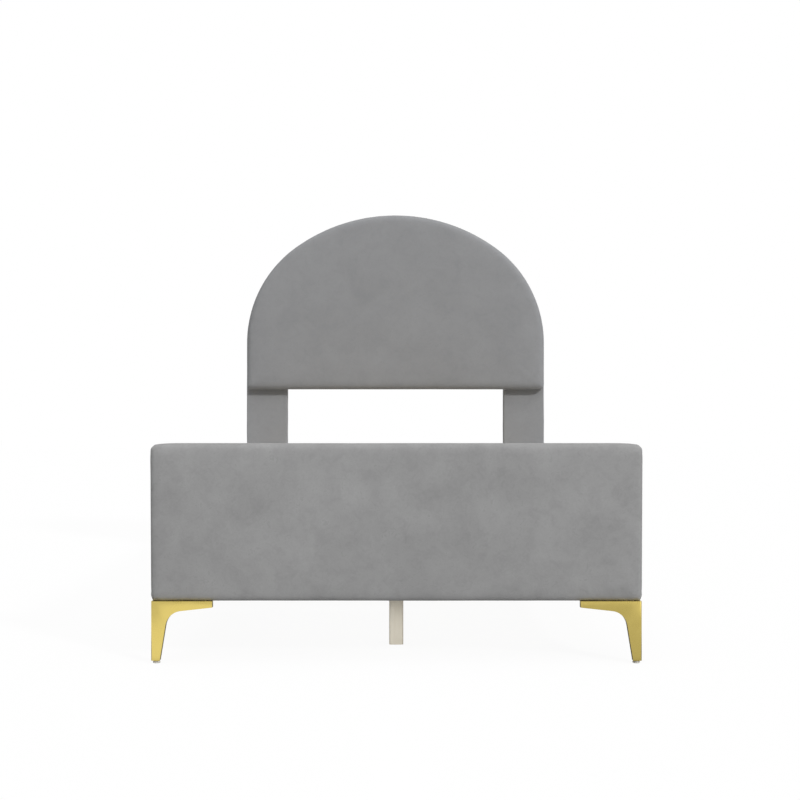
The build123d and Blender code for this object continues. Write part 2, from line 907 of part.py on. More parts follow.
with BuildPart() as hanger_screws:
    with Locations(
        *[rear_face(x, z, foot_back + hanger_plate) for x, z in hanger_screw_places],
        *[foot_face(x, z, head_rail_front - hanger_plate) for x, z in hanger_screw_places],
    ):
        add(pan_screw(pan_screw_length))
hanger_screws.part.label = "hanger_screws"
export_step(hanger_screws.part, "parts/hanger_screws.step")

# Slats and their straps

slat_half = rail_inside - slat_end_gap

for number, row in enumerate(slat_rows, start=1):
    with BuildPart() as slat:
        with BuildSketch(Plane.YZ.offset(-slat_half)) as slat_section:
            with Locations((row, slat_bottom)):
                Rectangle(slat_width, slat_thickness, align=(Align.CENTER, Align.MIN))
            chamfer(slat_section.vertices(), slat_edge)
        extrude(amount=2 * slat_half)
        own_screws = [(x, y, slat_top) for x, y in end_slat_screws if abs(y - row) < slat_width]
        if own_screws:
            with Locations(*own_screws):
                add(countersunk_hole(deck_screw_length), mode=Mode.SUBTRACT)
    slat.part.label = f"slat_{number:02d}"
    export_step(slat.part, f"parts/slat_{number:02d}.step")

for side, side_name in ((-1, "left"), (1, "right")):
    with BuildPart() as slat_strap:
        with BuildSketch(Plane.XY.offset(slat_bottom)):
            with Locations((side * strap_inset, (slat_rows[0] + slat_rows[-1]) / 2)):
                Rectangle(strap_width, slat_rows[-1] - slat_rows[0] + slat_width / 2)
        extrude(amount=-strap_thickness)
    slat_strap.part.label = f"{side_name}_slat_strap"
    export_step(slat_strap.part, f"parts/{side_name}_slat_strap.step")

with BuildPart() as deck_screws:
    with Locations(*[(x, y, slat_top) for x, y in end_slat_screws]):
        add(flat_screw(deck_screw_length))
    with Locations(*ledge_screw_planes(-1), *ledge_screw_planes(1)):
        add(flat_screw(deck_screw_length))
deck_screws.part.label = "deck_screws"
export_step(deck_screws.part, "parts/deck_screws.step")

# Gold corner legs: two dished wings folded round the corner under a screw plate

shank_lean = math.radians(shank_slope)
arm_lean = math.radians(arm_slope)


def wing_outline(shift, outside, base, top):
    """One wing seen square on, its inner edge moved in by shift: shank, elbow and tapering arm."""
    arm_low = leg_height - arm_tip_height + shift / math.cos(arm_lean)
    shank_foot = foot_width - shift / math.cos(shank_lean)
    tip = arm_length - shift
    rise = arm_low - (arm_length - shank_foot) * math.tan(arm_lean)
    elbow_height = rise / (1 - math.tan(arm_lean) * math.tan(shank_lean))
    elbow = (shank_foot + elbow_height * math.tan(shank_lean), elbow_height)
    with BuildSketch() as wing:
        with BuildLine():
            Polyline(
                (outside, base),
                (shank_foot + base * math.tan(shank_lean), base),
                elbow,
                (tip, arm_low - shift * math.tan(arm_lean)),
                (tip, top),
                (outside, top),
                close=True,
            )
        make_face()
        fillet(wing.vertices().sort_by_distance(elbow)[0], elbow_radius + shift)
    return wing.sketch


with BuildPart() as leg_form:
    with BuildSketch(Plane.XZ):
        add(wing_outline(0, 0, 0, leg_height))
    extrude(amount=-leg_depth)
    with BuildSketch(Plane.XZ.offset(-leg_wall)):
        add(wing_outline(leg_wall, leg_wall, foot_plate, leg_height - leg_plate))
    extrude(amount=-(leg_depth - leg_wall), mode=Mode.SUBTRACT)
    mirror(about=Plane(origin=(0, 0, 0), z_dir=(1, -1, 0)))
    with BuildSketch():
        Rectangle(foot_width, foot_width, align=(Align.MIN, Align.MIN))
    extrude(amount=foot_plate)
    with BuildSketch(Plane.XY.offset(leg_height)):
        with BuildLine():
            Polyline((0, 0), (leg_plate_side, 0), (0, leg_plate_side), close=True)
        make_face()
    extrude(amount=-leg_plate)
    outer_edge = leg_form.edges().filter_by(Axis.Z).sort_by_distance((0, 0, leg_height / 2))[0]
    fillet(outer_edge, leg_corner_radius)
    with BuildSketch(Plane.XY.offset(foot_plate)):
        with Locations((foot_center, foot_center)):
            RegularPolygon(weld_nut_flats / 2, nut_sides, major_radius=False)
    extrude(amount=weld_nut_height)
    with Locations((foot_center, foot_center, 0)):
        add(
            flatted_rod(stem_radius + stem_gap, stem_sides, foot_plate + weld_nut_height, 0),
            mode=Mode.SUBTRACT,
        )
    with Locations(
        *[
            (across * leg_plate_side, along * leg_plate_side, leg_height)
            for across, along in leg_screw_shares
        ]
    ):
        add(screw_hole(leg_plate + screw_head_height), mode=Mode.SUBTRACT)

with BuildPart() as foot_form:
    with BuildSketch():
        RegularPolygon(foot_radius, foot_sides)
    extrude(amount=foot_height, taper=foot_taper)
    with BuildSketch(Plane.XY.offset(foot_height)):
        RegularPolygon(foot_hex_flats / 2, nut_sides, major_radius=False)
    extrude(amount=foot_hex_height)
    add(flatted_rod(stem_radius, stem_sides, leg_floor_gap + stem_above, foot_height))

corner_names = {
    (-1, -1): "foot_left",
    (-1, 1): "head_left",
    (1, -1): "foot_right",
    (1, 1): "head_right",
}
for (side, end), corner_name in corner_names.items():
    with BuildPart() as corner_leg:
        turned = leg_form.part
        if side > 0:
            turned = turned.mirror(Plane.YZ)
        if end > 0:
            turned = turned.mirror(Plane.XZ)
        with Locations((side * plate_corner_x, end * plate_corner_y, leg_floor_gap)):
            add(turned)
    corner_leg.part.label = f"{corner_name}_leg"
    export_step(corner_leg.part, f"parts/{corner_name}_leg.step")

    with BuildPart() as leveling_foot:
        with Locations(
            (side * (plate_corner_x - foot_center), end * (plate_corner_y - foot_center), 0)
        ):
            add(foot_form.part)
    leveling_foot.part.label = f"{corner_name}_leveling_foot"
    export_step(leveling_foot.part, f"parts/{corner_name}_leveling_foot.step")

with BuildPart() as leg_screws:
    with Locations(
        *[under_face(x, y, underside_height - leg_plate) for x, y in leg_screw_places]
    ):
        add(pan_screw(pan_screw_length))
leg_screws.part.label = "leg_screws"
export_step(leg_screws.part, "parts/leg_screws.step")
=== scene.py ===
"""The looks of an upholstered platform bed, in metres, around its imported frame.

X runs across the bed, Y from the foot end to the head end, and Z up from the floor.
"""

import json
import math

import bmesh
import bpy
import numpy as np
from mathutils import Matrix, Vector, noise


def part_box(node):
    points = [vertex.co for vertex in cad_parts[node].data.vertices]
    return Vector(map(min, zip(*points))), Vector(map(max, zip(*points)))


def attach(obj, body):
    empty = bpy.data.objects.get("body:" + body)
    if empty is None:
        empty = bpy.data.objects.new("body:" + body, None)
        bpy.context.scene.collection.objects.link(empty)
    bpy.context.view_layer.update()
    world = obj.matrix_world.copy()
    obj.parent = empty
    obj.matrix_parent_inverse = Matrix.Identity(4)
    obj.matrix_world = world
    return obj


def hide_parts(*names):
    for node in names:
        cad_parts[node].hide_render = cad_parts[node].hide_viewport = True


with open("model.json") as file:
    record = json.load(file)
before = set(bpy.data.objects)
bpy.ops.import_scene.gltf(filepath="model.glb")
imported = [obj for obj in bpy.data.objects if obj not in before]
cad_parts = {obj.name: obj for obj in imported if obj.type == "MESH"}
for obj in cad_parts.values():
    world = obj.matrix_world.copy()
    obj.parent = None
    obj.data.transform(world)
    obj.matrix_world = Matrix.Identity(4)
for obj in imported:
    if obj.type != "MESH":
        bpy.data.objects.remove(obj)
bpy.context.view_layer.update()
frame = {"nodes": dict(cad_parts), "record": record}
scene = bpy.context.scene
MAIN_BODY = "frame"

# Camera, as the photograph was taken: level, from the foot end
CAMERA_PLACE = (-0.0053, -4.099, 0.555)
CAMERA_LENS = 65.45
CAMERA_SHIFT = 0.0076

# Upholstery
FABRIC = 0.0015
GAP = 0.0003
PANEL_ROLL = 0.022
PANEL_CORNER = 0.007
PANEL_HALF_WIDTH = 0.5178
PANEL_BOTTOM = 0.5922
PANEL_TOP = 1.1987
FOOTBOARD_ROLL = 0.014
FOOTBOARD_CORNER = 0.012
FOOTBOARD_FOOT_CORNER = 0.005
FOOTBOARD_HALF_WIDTH = 0.5216
FOOTBOARD_BOTTOM = 0.1301
FOOTBOARD_TOP = 0.4630
FOOTBOARD_LEAN = 0.0018
TOP_DROP = 0.0028
TOP_DROP_REACH = 0.055
CORNER_SPREAD = 0.4
CROWN = 0.0025
CROWN_REACH = 0.09
RETURN_WIDTH = 0.045
EDGE_FOAM = 0.0118
BACK_ROLL = 0.004
PUFF_GIVE = 0.0020
HELD_ROLL = 0.5
ARCH_SPRING = 0.162
ARCH_SWEEP = math.radians(54.4)
RAIL_ROLL = 0.010
RAIL_RETURN = 0.040
RAIL_END = 0.012
RAIL_END_SPANS = (0, 0.25, 1)
RAIL_END_TUCK = 0.003
RAIL_STEPS = 130
RAIL_FOLD = 0.0025
RAIL_SKIN = 0.0008
POST_EDGE = 0.0035
POST_CHAMFER = 0.003
POST_ENDS = ((0, 0.003), (0.001, 0.0012), (0.003, 0))
RECESS_RADIUS = 0.011
BOLT_HOLE = 0.0045
BOARD_CORNER = 0.008
HEAD_RAIL_FOLD = 0.003

# How the cloth over the foam is remeshed, eased and let out
PANEL_VOXEL = 0.006
EASE_ROUNDS = 3
CLOTH_FRAMES = 20
PANEL_PRESSURE, PANEL_PUFF = 4.0, 0.003
RAIL_PRESSURE, RAIL_PUFF = 3.0, 0.0012
SIDE_RIPPLE = 0.3

# Back cloths, slat tapes and staples
CLOTH = 0.0005
TAPE = 0.0006
TAPE_SAG = 0.0011
SHEET_STEP = 0.012
STAPLE_INSET = 0.007
CLOTH_STAPLES = 0.042
RETURN_STAPLES = 0.026
STAPLE_TURN = 0.16

# Bolts and screws
BOLT_HEAD, BOLT_RADIUS = 0.0044, 0.004
PAN_HEAD, SUNK_HEAD, SCREW_RADIUS = 0.0022, 0.0021, 0.0021

QUARTER = math.pi / 2
MERGED = 1e-6
PAD_SHARP = math.radians(50)
SHEET_SHARP = math.radians(40)
SMALL_SHARP = math.radians(32)
EDGE_SHARP = math.radians(30)
WHITE = (1, 1, 1, 1)
CORNERS = ("foot_left", "foot_right", "head_left", "head_right")


# Meshes

def linked(name, data):
    """A new object in the scene."""
    obj = bpy.data.objects.new(name, data)
    scene.collection.objects.link(obj)
    return obj


def mesh_object(name, points, faces):
    """A new object from points and faces, its faces turned outwards."""
    mesh = bpy.data.meshes.new(name)
    mesh.from_pydata([tuple(p) for p in points], [], faces)
    mesh.update()
    bm = bmesh.new()
    bm.from_mesh(mesh)
    bmesh.ops.recalc_face_normals(bm, faces=bm.faces)
    bm.to_mesh(mesh)
    bm.free()
    return linked(name, mesh)


def settle(obj):
    """Turn what the object's modifiers make into its plain mesh."""
    evaluated = obj.evaluated_get(bpy.context.evaluated_depsgraph_get())
    mesh = bpy.data.meshes.new_from_object(evaluated)
    obj.modifiers.clear()
    obj.data = mesh


def apply_modifier(obj, kind, **settings):
    """Work a modifier into the object's mesh."""
    modifier = obj.modifiers.new(kind.title(), kind)
    for key, value in settings.items():
        setattr(modifier, key, value)
    settle(obj)


def corners_of(obj):
    places = np.empty(len(obj.data.vertices) * 3)
    obj.data.vertices.foreach_get("co", places)
    return places.reshape(-1, 3)


def normals_of(obj):
    directions = np.empty(len(obj.data.vertices) * 3, np.float32)
    obj.data.vertex_normals.foreach_get("vector", directions)
    return directions.reshape(-1, 3).astype(float)


def move_corners(obj, places):
    obj.data.vertices.foreach_set("co", places.ravel())
    obj.data.update()


def smooth(obj, angle):
    """Shade smooth, but for edges that turn by more than the angle."""
    obj.data.shade_smooth()
    obj.data.set_sharp_from_angle(angle=angle)


def lofted(name, rings):
    """A closed form through rings of as many points each, capped at both ends."""
    count = len(rings[0])
    points = [point for ring in rings for point in ring]
    last = count * (len(rings) - 1)
    faces = [list(range(count)), list(range(last, last + count))]
    for start in range(0, last, count):
        for step in range(count):
            along = (step + 1) % count
            faces.append([start + step, start + along, start + count + along, start + count + step])
    return mesh_object(name, points, faces)


def block(name, low, high):
    """A plain box, used to cut with."""
    xs, ys, zs = zip(low, high)
    points = [(x, y, z) for x in xs for y in ys for z in zs]
    faces = [(0, 1, 3, 2), (4, 6, 7, 5), (0, 4, 5, 1), (2, 3, 7, 6), (0, 2, 6, 4), (1, 5, 7, 3)]
    return mesh_object(name, points, faces)


def prism(name, outline, front, back):
    """An outline in X and Z run from one Y to another, used to cut with."""
    return lofted(name, [[(x, y, z) for x, z in outline] for y in (front, back)])


def rod(name, place, direction, radius, length):
    """A rod that starts at a place and runs along a direction, used to cut with."""
    turn = Vector(direction).to_track_quat("Z", "Y")
    sides = 32
    rings = []
    for height in (0, length):
        ring = []
        for side in range(sides):
            angle = 2 * math.pi * side / sides
            local = Vector((radius * math.cos(angle), radius * math.sin(angle), height))
            ring.append(Vector(place) + turn @ local)
        rings.append(ring)
    return lofted(name, rings)


def cut(obj, *cutters):
    """Cut the cutters out of a closed form, and throw them away."""
    for cutter in cutters:
        apply_modifier(obj, "BOOLEAN", operation="DIFFERENCE", object=cutter, solver="MANIFOLD")
        bpy.data.objects.remove(cutter)


def subdivide(obj):
    apply_modifier(obj, "SUBSURF", levels=1, render_levels=1)


def let_out(obj, held, pressure, cap):
    """Blow the cloth out from its held corners by simulation, its furthest corner to the cap."""
    start = corners_of(obj)
    group = obj.vertex_groups.new(name="held")
    group.add([int(i) for i in np.nonzero(held)[0]], 1.0, "REPLACE")
    cloth = obj.modifiers.new("Cloth", "CLOTH")
    cloth.settings.vertex_group_mass = group.name
    cloth.settings.use_pressure = True
    cloth.settings.uniform_pressure_force = pressure
    cloth.settings.effector_weights.gravity = 0
    cloth.settings.quality = 5
    cloth.collision_settings.use_collision = False
    cloth.point_cache.frame_start = 1
    cloth.point_cache.frame_end = CLOTH_FRAMES
    for number in range(1, CLOTH_FRAMES + 1):
        scene.frame_set(number)
    evaluated = obj.evaluated_get(bpy.context.evaluated_depsgraph_get())
    blown = corners_of(evaluated)
    move = blown - start
    length = np.linalg.norm(move, axis=1)
    share = min(1, cap / max(length.max(), 1e-9))
    obj.modifiers.remove(cloth)
    obj.vertex_groups.clear()
    scene.frame_set(1)
    move_corners(obj, start + move * share)


def ripple(obj, waves, toward=None):
    """Move each corner along its normal by smooth noise, in pairs of wavelength and height.

    Where a direction is given, a face that looks another way moves less.
    """
    places = corners_of(obj)
    rise = np.zeros(len(places))
    for number, (wavelength, height) in enumerate(waves):
        shift = Vector((number * 7.3, number * 3.1, number * 5.7))
        rise += height * np.array([noise.noise(Vector(p) / wavelength + shift) for p in places])
    normals = normals_of(obj)
    if toward:
        rise *= np.clip(normals @ np.array(toward), SIDE_RIPPLE, 1)
    move_corners(obj, places + normals * rise[:, None])


# Outlines in X and Z

def on_arc(center, radius, angle):
    return center[0] + radius * math.cos(angle), center[1] + radius * math.sin(angle)


def arc_points(center, radius, start, end, steps):
    """Points along an arc, its last one left out."""
    return [on_arc(center, radius, start + (end - start) * step / steps) for step in range(steps)]


def line_points(start, end, steps):
    """Points along a line, its last one left out."""
    (x, y), (far_x, far_y) = start, end
    across, up = far_x - x, far_y - y
    return [(x + across * step / steps, y + up * step / steps) for step in range(steps)]


def rounded_ring(low, high, radii, arc_steps, line_steps):
    """A rounded rectangle, counter-clockwise from its lower right corner and its right side."""
    (left, bottom), (right, top) = low, high
    corners = ((right, bottom), (right, top), (left, top), (left, bottom))
    inwards = ((-1, 1), (-1, -1), (1, -1), (1, 1))
    centers = [(x + u * r, y + v * r) for (x, y), (u, v), r in zip(corners, inwards, radii)]
    points = []
    for number in range(4):
        center, radius, angle = centers[number], radii[number], QUARTER * number
        points += arc_points(center, radius, angle - QUARTER, angle, arc_steps[number])
        after = (number + 1) % 4
        line_end = on_arc(centers[after], radii[after], angle)
        points += line_points(on_arc(center, radius, angle), line_end, line_steps[number])
    return points


def rounded_outline(half_width, bottom, top, low_corner, high_corner):
    """A board's outline, rounded by one radius below and by another above."""
    radii = (low_corner, high_corner, high_corner, low_corner)
    return rounded_ring((-half_width, bottom), (half_width, top), radii, (8,) * 4, (8, 24, 8, 24))


panel_low, panel_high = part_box("headboard_cover")
ARCH_RISE = panel_high.z - panel_low.z - ARCH_SPRING
CENTER_DISTANCE = (panel_high.x - ARCH_RISE) / (math.cos(ARCH_SWEEP) + math.sin(ARCH_SWEEP) - 1)
SIDE_CENTER = CENTER_DISTANCE * math.cos(ARCH_SWEEP)
TOP_CENTER = -CENTER_DISTANCE * math.sin(ARCH_SWEEP)


def arch_outline(inset, corner):
    """The headboard's outline moved inwards: straight sides, side arcs and a flatter top arc."""
    half_width = panel_high.x - inset
    bottom = panel_low.z + inset
    spring = panel_low.z + ARCH_SPRING
    side_radius = half_width - SIDE_CENTER
    top_radius = ARCH_RISE - TOP_CENTER - inset
    x, low = half_width - corner, bottom + corner
    return (
        arc_points((x, low), corner, -QUARTER, 0, 8)
        + line_points((half_width, low), (half_width, spring), 6)
        + arc_points((SIDE_CENTER, spring), side_radius, 0, ARCH_SWEEP, 20)
        + arc_points((0, spring + TOP_CENTER), top_radius, ARCH_SWEEP, math.pi - ARCH_SWEEP, 36)
        + arc_points((-SIDE_CENTER, spring), side_radius, math.pi - ARCH_SWEEP, math.pi, 20)
        + line_points((-half_width, spring), (-half_width, low), 6)
        + arc_points((-x, low), corner, 2 * QUARTER, 3 * QUARTER, 8)
        + line_points((-x, bottom), (x, bottom), 24)
    )


def footboard_outline(inset, corner):
    low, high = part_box("footboard_cover")
    foot_corner = max(corner - FOOTBOARD_CORNER + FOOTBOARD_FOOT_CORNER, BACK_ROLL)
    return rounded_outline(high.x - inset, low.z + inset, high.z - inset, foot_corner, corner)


# Shader maths

class Socket:
    """An output of a node. Sums with it add Math nodes."""

    def __init__(self, owner, output):
        self.owner = owner
        self.output = output

    def __add__(self, other):
        return self.owner.math("ADD", self, other)

    __radd__ = __add__

    def __mul__(self, other):
        return self.owner.math("MULTIPLY", self, other)

    __rmul__ = __mul__

    def __abs__(self):
        return self.owner.math("ABSOLUTE", self)


def linear(red, green, blue):
    """A colour given in sRGB from 0 to 255, as linear light with full alpha."""
    shares = [channel / 255 for channel in (red, green, blue)]
    return tuple(s / 12.92 if s <= 0.04045 else ((s + 0.055) / 1.055) ** 2.4 for s in shares) + (1,)


class Nodes:
    """A tree of nodes, for a material, for the world or for geometry."""

    def __init__(self, tree):
        self.tree = tree

    def node(self, kind, inputs=(), output=0, **settings):
        """Add a node: its settings first, then values or links for its inputs."""
        node = self.tree.nodes.new(kind)
        for key, value in settings.items():
            setattr(node, key, value)
        pairs = inputs.items() if isinstance(inputs, dict) else enumerate(inputs)
        for key, value in pairs:
            if isinstance(value, Socket):
                self.tree.links.new(value.output, node.inputs[key])
            else:
                node.inputs[key].default_value = value
        return Socket(self, node.outputs[output])

    def math(self, operation, *values):
        return self.node("ShaderNodeMath", values, operation=operation)

    def ray(self, *kinds):
        """Whether a ray is of one of the kinds."""
        seen = None
        for kind in kinds:
            found = self.node("ShaderNodeLightPath", output=f"Is {kind} Ray")
            seen = self.math("MAXIMUM", seen, found) if seen else found
        return seen

    def light(self, kind, strength):
        return self.node(kind, {"Color": WHITE, "Strength": strength})

    def mix_shaders(self, share, first, second):
        return self.node("ShaderNodeMixShader", [share, first, second])


class Finish(Nodes):
    """A material: its nodes, and the shader that they end in."""

    def __init__(self, name, roughness=0.6, metallic=0.0, specular=0.5, sheen=0.0):
        self.material = bpy.data.materials.new(name)
        self.material.use_nodes = True
        super().__init__(self.material.node_tree)
        self.shader = self.tree.nodes["Principled BSDF"]
        values = {
            "Roughness": roughness,
            "Metallic": metallic,
            "Specular IOR Level": specular,
            "Sheen Weight": sheen,
        }
        for socket, value in values.items():
            self.shader.inputs[socket].default_value = value
        self.place = self.node("ShaderNodeTexCoord", output="Object")

    def stretched(self, scale):
        """The place on the piece, scaled along each axis."""
        return self.node("ShaderNodeMapping", {"Vector": self.place, "Scale": scale})

    def along_grain(self, axis, share):
        """The place on the piece, drawn out along one axis."""
        return self.stretched(tuple(share if name == axis else 1.0 for name in "XYZ"))

    def clouds(self, size, place=None, detail=2.0, roughness=0.5, distortion=0.0):
        """Soft noise from 0 to 1, its lumps about the given size."""
        inputs = {
            "Vector": place or self.place,
            "Scale": 1 / size,
            "Detail": detail,
            "Roughness": roughness,
            "Distortion": distortion,
        }
        return self.node("ShaderNodeTexNoise", inputs)

    def waves(self, direction, scale, distortion, profile="SIN"):
        """Bands from 0 to 1 across one axis."""
        inputs = {"Vector": self.place, "Scale": scale, "Distortion": distortion}
        settings = {"wave_type": "BANDS", "bands_direction": direction, "wave_profile": profile}
        return self.node("ShaderNodeTexWave", inputs, 1, **settings)

    def between(self, value, low, high, to_low=0.0, to_high=1.0):
        return self.node("ShaderNodeMapRange", [value, low, high, to_low, to_high])

    def mix(self, share, first, second):
        inputs = {0: share, 6: first, 7: second}
        return self.node("ShaderNodeMix", inputs, 2, data_type="RGBA", blend_type="MIX")

    def set(self, socket, value):
        self.tree.links.new(value.output, self.shader.inputs[socket])

    def bump(self, height, strength, distance):
        """Let a height stand out of the surface."""
        inputs = {"Height": height, "Strength": strength, "Distance": distance}
        self.set("Normal", self.node("ShaderNodeBump", inputs))


# Materials

def make_velvet(name, dark, light, speck):
    """Short-pile grey velvet: nap brushed into soft clouds, over fine fibres."""
    finish = Finish(name, roughness=0.85, specular=0.15, sheen=0.12)
    clouds = finish.clouds(0.10, detail=4.0, roughness=0.55, distortion=0.7)
    patches = finish.clouds(0.034, detail=3.0, roughness=0.6, distortion=0.9)
    curls = finish.clouds(0.011, detail=2.0, roughness=0.55, distortion=1.6)
    fibres = finish.clouds(0.0009, detail=1.0)
    nap = clouds * 0.44 + patches * 0.34 + curls * 0.22
    shade = finish.between(nap, 0.34, 0.66)
    colour = finish.mix(shade, dark, light)
    specks = finish.between(curls * patches, 0.33, 0.42)
    colour = finish.mix(specks * speck, colour, linear(118, 118, 118))
    finish.set("Base Color", finish.mix(fibres * 0.12, colour, linear(118, 118, 119)))
    finish.bump(nap * 0.5 + fibres * 0.3, 0.25, 0.0012)
    return finish.material


def make_gold(name, light, dark):
    """Polished gold plate on steel, with a faint brushed haze."""
    finish = Finish(name, metallic=1.0)
    haze = finish.clouds(0.03, detail=3.0)
    grain = finish.clouds(0.0012, finish.stretched((1.0, 1.0, 0.08)), detail=2.0)
    finish.set("Base Color", finish.mix(haze, dark, light))
    finish.set("Roughness", finish.between(haze * 0.7 + grain * 0.3, 0.3, 0.7, 0.22, 0.36))
    finish.bump(grain, 0.04, 0.0004)
    return finish.material


def make_wood(name, light, dark, along, contrast=1.0, knots=False):
    """Planed wood, its grain running along one axis, with pores and a few darker streaks."""
    finish = Finish(name, specular=0.3)
    grain_place = finish.along_grain(along, 0.06)
    wander = finish.clouds(0.09, grain_place, detail=2.0)
    rings = finish.clouds(0.012, grain_place, detail=4.0, roughness=0.6, distortion=0.8)
    pores = finish.clouds(0.0016, grain_place, detail=2.0)
    figure = finish.between(rings * 0.6 + wander * 0.25 + pores * 0.15, 0.32, 0.68)
    colour = finish.mix(figure * contrast, light, dark)
    if knots:
        through = {"Vector": finish.stretched((1.0, 1.0, 0.1)), "Scale": 3.4}
        apart = finish.node("ShaderNodeTexVoronoi", through)
        ragged = apart + rings * 0.03
        colour = finish.mix(finish.between(ragged, 0.075, 0.045), colour, linear(140, 98, 62))
        colour = finish.mix(finish.between(ragged, 0.040, 0.028), colour, linear(92, 60, 38))
    finish.set("Base Color", colour)
    finish.set("Roughness", finish.between(pores, 0.3, 0.7, 0.52, 0.72))
    finish.bump(rings * 0.4 + pores * 0.6, 0.3, 0.0005)
    return finish.material


def make_plywood(name, through, along):
    """Birch plywood: veneers alternate through the board's thickness, their grain along it."""
    finish = Finish(name, specular=0.25)
    face = finish.clouds(0.02, finish.along_grain(along, 0.08), detail=4.0, distortion=0.6)
    veneer = finish.waves(through, 78.0, 0.6, profile="TRI")
    layers = finish.between(veneer, 0.35, 0.65)
    tone = finish.mix(layers, linear(220, 198, 162), linear(196, 168, 128))
    finish.set("Base Color", finish.mix(face * 0.5, tone, linear(203, 176, 136)))
    finish.set("Roughness", finish.between(face, 0.3, 0.7, 0.55, 0.75))
    finish.bump(face, 0.2, 0.0006)
    return finish.material


def make_steel(name, tint, low, high, metallic=1.0):
    """Zinc-plated or painted steel, its tone and gloss slightly patchy."""
    finish = Finish(name, metallic=metallic)
    patches = finish.clouds(0.006, detail=3.0)
    grain = finish.clouds(0.0006, detail=1.0)
    darker = tuple(channel * 0.8 for channel in tint[:3]) + (1,)
    finish.set("Base Color", finish.mix(patches, tint, darker))
    finish.set("Roughness", finish.between(patches, 0.3, 0.7, low, high))
    finish.bump(grain, 0.08, 0.0002)
    return finish.material


def make_plastic(name, tint, roughness):
    finish = Finish(name, specular=0.5)
    cast = finish.clouds(0.004, detail=2.0)
    grain = finish.clouds(0.0005, detail=1.0)
    darker = tuple(channel * 0.88 for channel in tint[:3]) + (1,)
    finish.set("Base Color", finish.mix(cast, tint, darker))
    finish.set("Roughness", finish.between(cast, 0.3, 0.7, roughness - 0.08, roughness + 0.08))
    finish.bump(grain, 0.06, 0.0002)
    return finish.material


def make_dust_cloth():
    """Black spun-bonded cloth, pressed with a fine grid of dimples."""
    finish = Finish("black_dust_cloth", roughness=0.9, specular=0.2)
    grid = {"Vector": finish.place, "Scale": 420.0, "Randomness": 0.15}
    cells = finish.node("ShaderNodeTexVoronoi", grid)
    threads = finish.clouds(0.0012, detail=3.0, roughness=0.7)
    dimple = finish.between(cells, 0.1, 0.5)
    tone = finish.mix(dimple * 0.6 + threads * 0.4, linear(30, 30, 31), linear(62, 62, 64))
    finish.set("Base Color", tone)
    finish.bump(dimple * 0.7 + threads * 0.3, 0.5, 0.0004)
    return finish.material


def make_webbing():
    """White woven tape, its ribs across its width."""
    finish = Finish("woven_tape", roughness=0.85, specular=0.2)
    ribs = finish.waves("Y", 160.0, 0.4)
    warp = finish.waves("X", 260.0, 0.4)
    weave = ribs * 0.6 + warp * 0.4
    finish.set("Base Color", finish.mix(weave, linear(168, 164, 155), linear(222, 219, 210)))
    finish.bump(weave, 0.6, 0.0005)
    return finish.material


PINE_LIGHT, PINE_DARK = linear(231, 221, 201), linear(206, 187, 156)
POPLAR_LIGHT, POPLAR_DARK = linear(236, 230, 215), linear(222, 213, 193)
materials = {
    "velvet": make_velvet("grey_velvet", linear(136, 137, 139), linear(146, 147, 149), 0.2),
    "dust_cloth": make_dust_cloth(),
    "webbing": make_webbing(),
    "gold_steel": make_gold("gold_plate", linear(198, 179, 104), linear(190, 170, 94)),
    "zinc_steel": make_steel("zinc_plate", linear(196, 198, 202), 0.24, 0.42),
    "black_steel": make_steel("black_paint_on_steel", linear(38, 38, 40), 0.4, 0.55, 0.0),
    "foot_plastic": make_plastic("pale_nylon", linear(214, 212, 205), 0.4),
}
# A lighter copy of the same velvet for the posts: painted light on the posts
POST_PAINTED_LIGHTER_TONES = linear(140, 141, 143), linear(150, 151, 153)
BRUSHED_TONES = linear(136, 136, 136), linear(155, 155, 155)
post_velvet_painted_lighter = make_velvet("grey_velvet_painted_lighter_on_posts", *POST_PAINTED_LIGHTER_TONES, 0.2)
brushed_velvet = make_velvet("brushed_grey_velvet", *BRUSHED_TONES, 0.3)
plywood_across = make_plywood("birch_plywood_across", "Y", "X")
plywood_lengthwise = make_plywood("birch_plywood_lengthwise", "X", "Y")
pine_along_x = make_wood("pine_across", PINE_LIGHT, PINE_DARK, "X", knots=True)
pine_along_y = make_wood("pine_lengthwise", PINE_LIGHT, PINE_DARK, "Y", knots=True)
poplar_upright = make_wood("poplar_upright", POPLAR_LIGHT, POPLAR_DARK, "Z", contrast=0.7)
# A darker gold for the legs' rounded edges: painted dark reflection
gold_painted_dark_edge = make_gold("gold_plate_painted_dark_edge", linear(84, 72, 40), linear(68, 58, 32))
slot_of = {row["node"]: row["material_slot"] for row in frame["record"]["subparts"]}


def finish_of(node):
    """The material of a CAD node, wood by the way that its grain runs."""
    slot = slot_of[node]
    low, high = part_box(node)
    lengthwise = high.y - low.y > high.x - low.x
    if slot == "plywood":
        return plywood_lengthwise if lengthwise else plywood_across
    if slot == "pine":
        return pine_along_y if lengthwise else pine_along_x
    if slot == "poplar":
        return poplar_upright
    return materials[slot]


def dress(obj, material):
    obj.data.materials.clear()
    obj.data.materials.append(material)


def place_piece(obj, material, slot, *nodes, body=MAIN_BODY):
    """Give a finished piece its material, its body and the nodes that it stands for."""
    dress(obj, material)
    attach(obj, body)
    if nodes:
        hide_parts(*nodes)


def place_padded(obj, velvet, fill, *nodes):
    """Give a finished padded piece smooth shading and its velvet; the fill argument is not used."""
    smooth(obj, PAD_SHARP)
    place_piece(obj, velvet, "velvet", *nodes)


# Padded panels: headboard and footboard

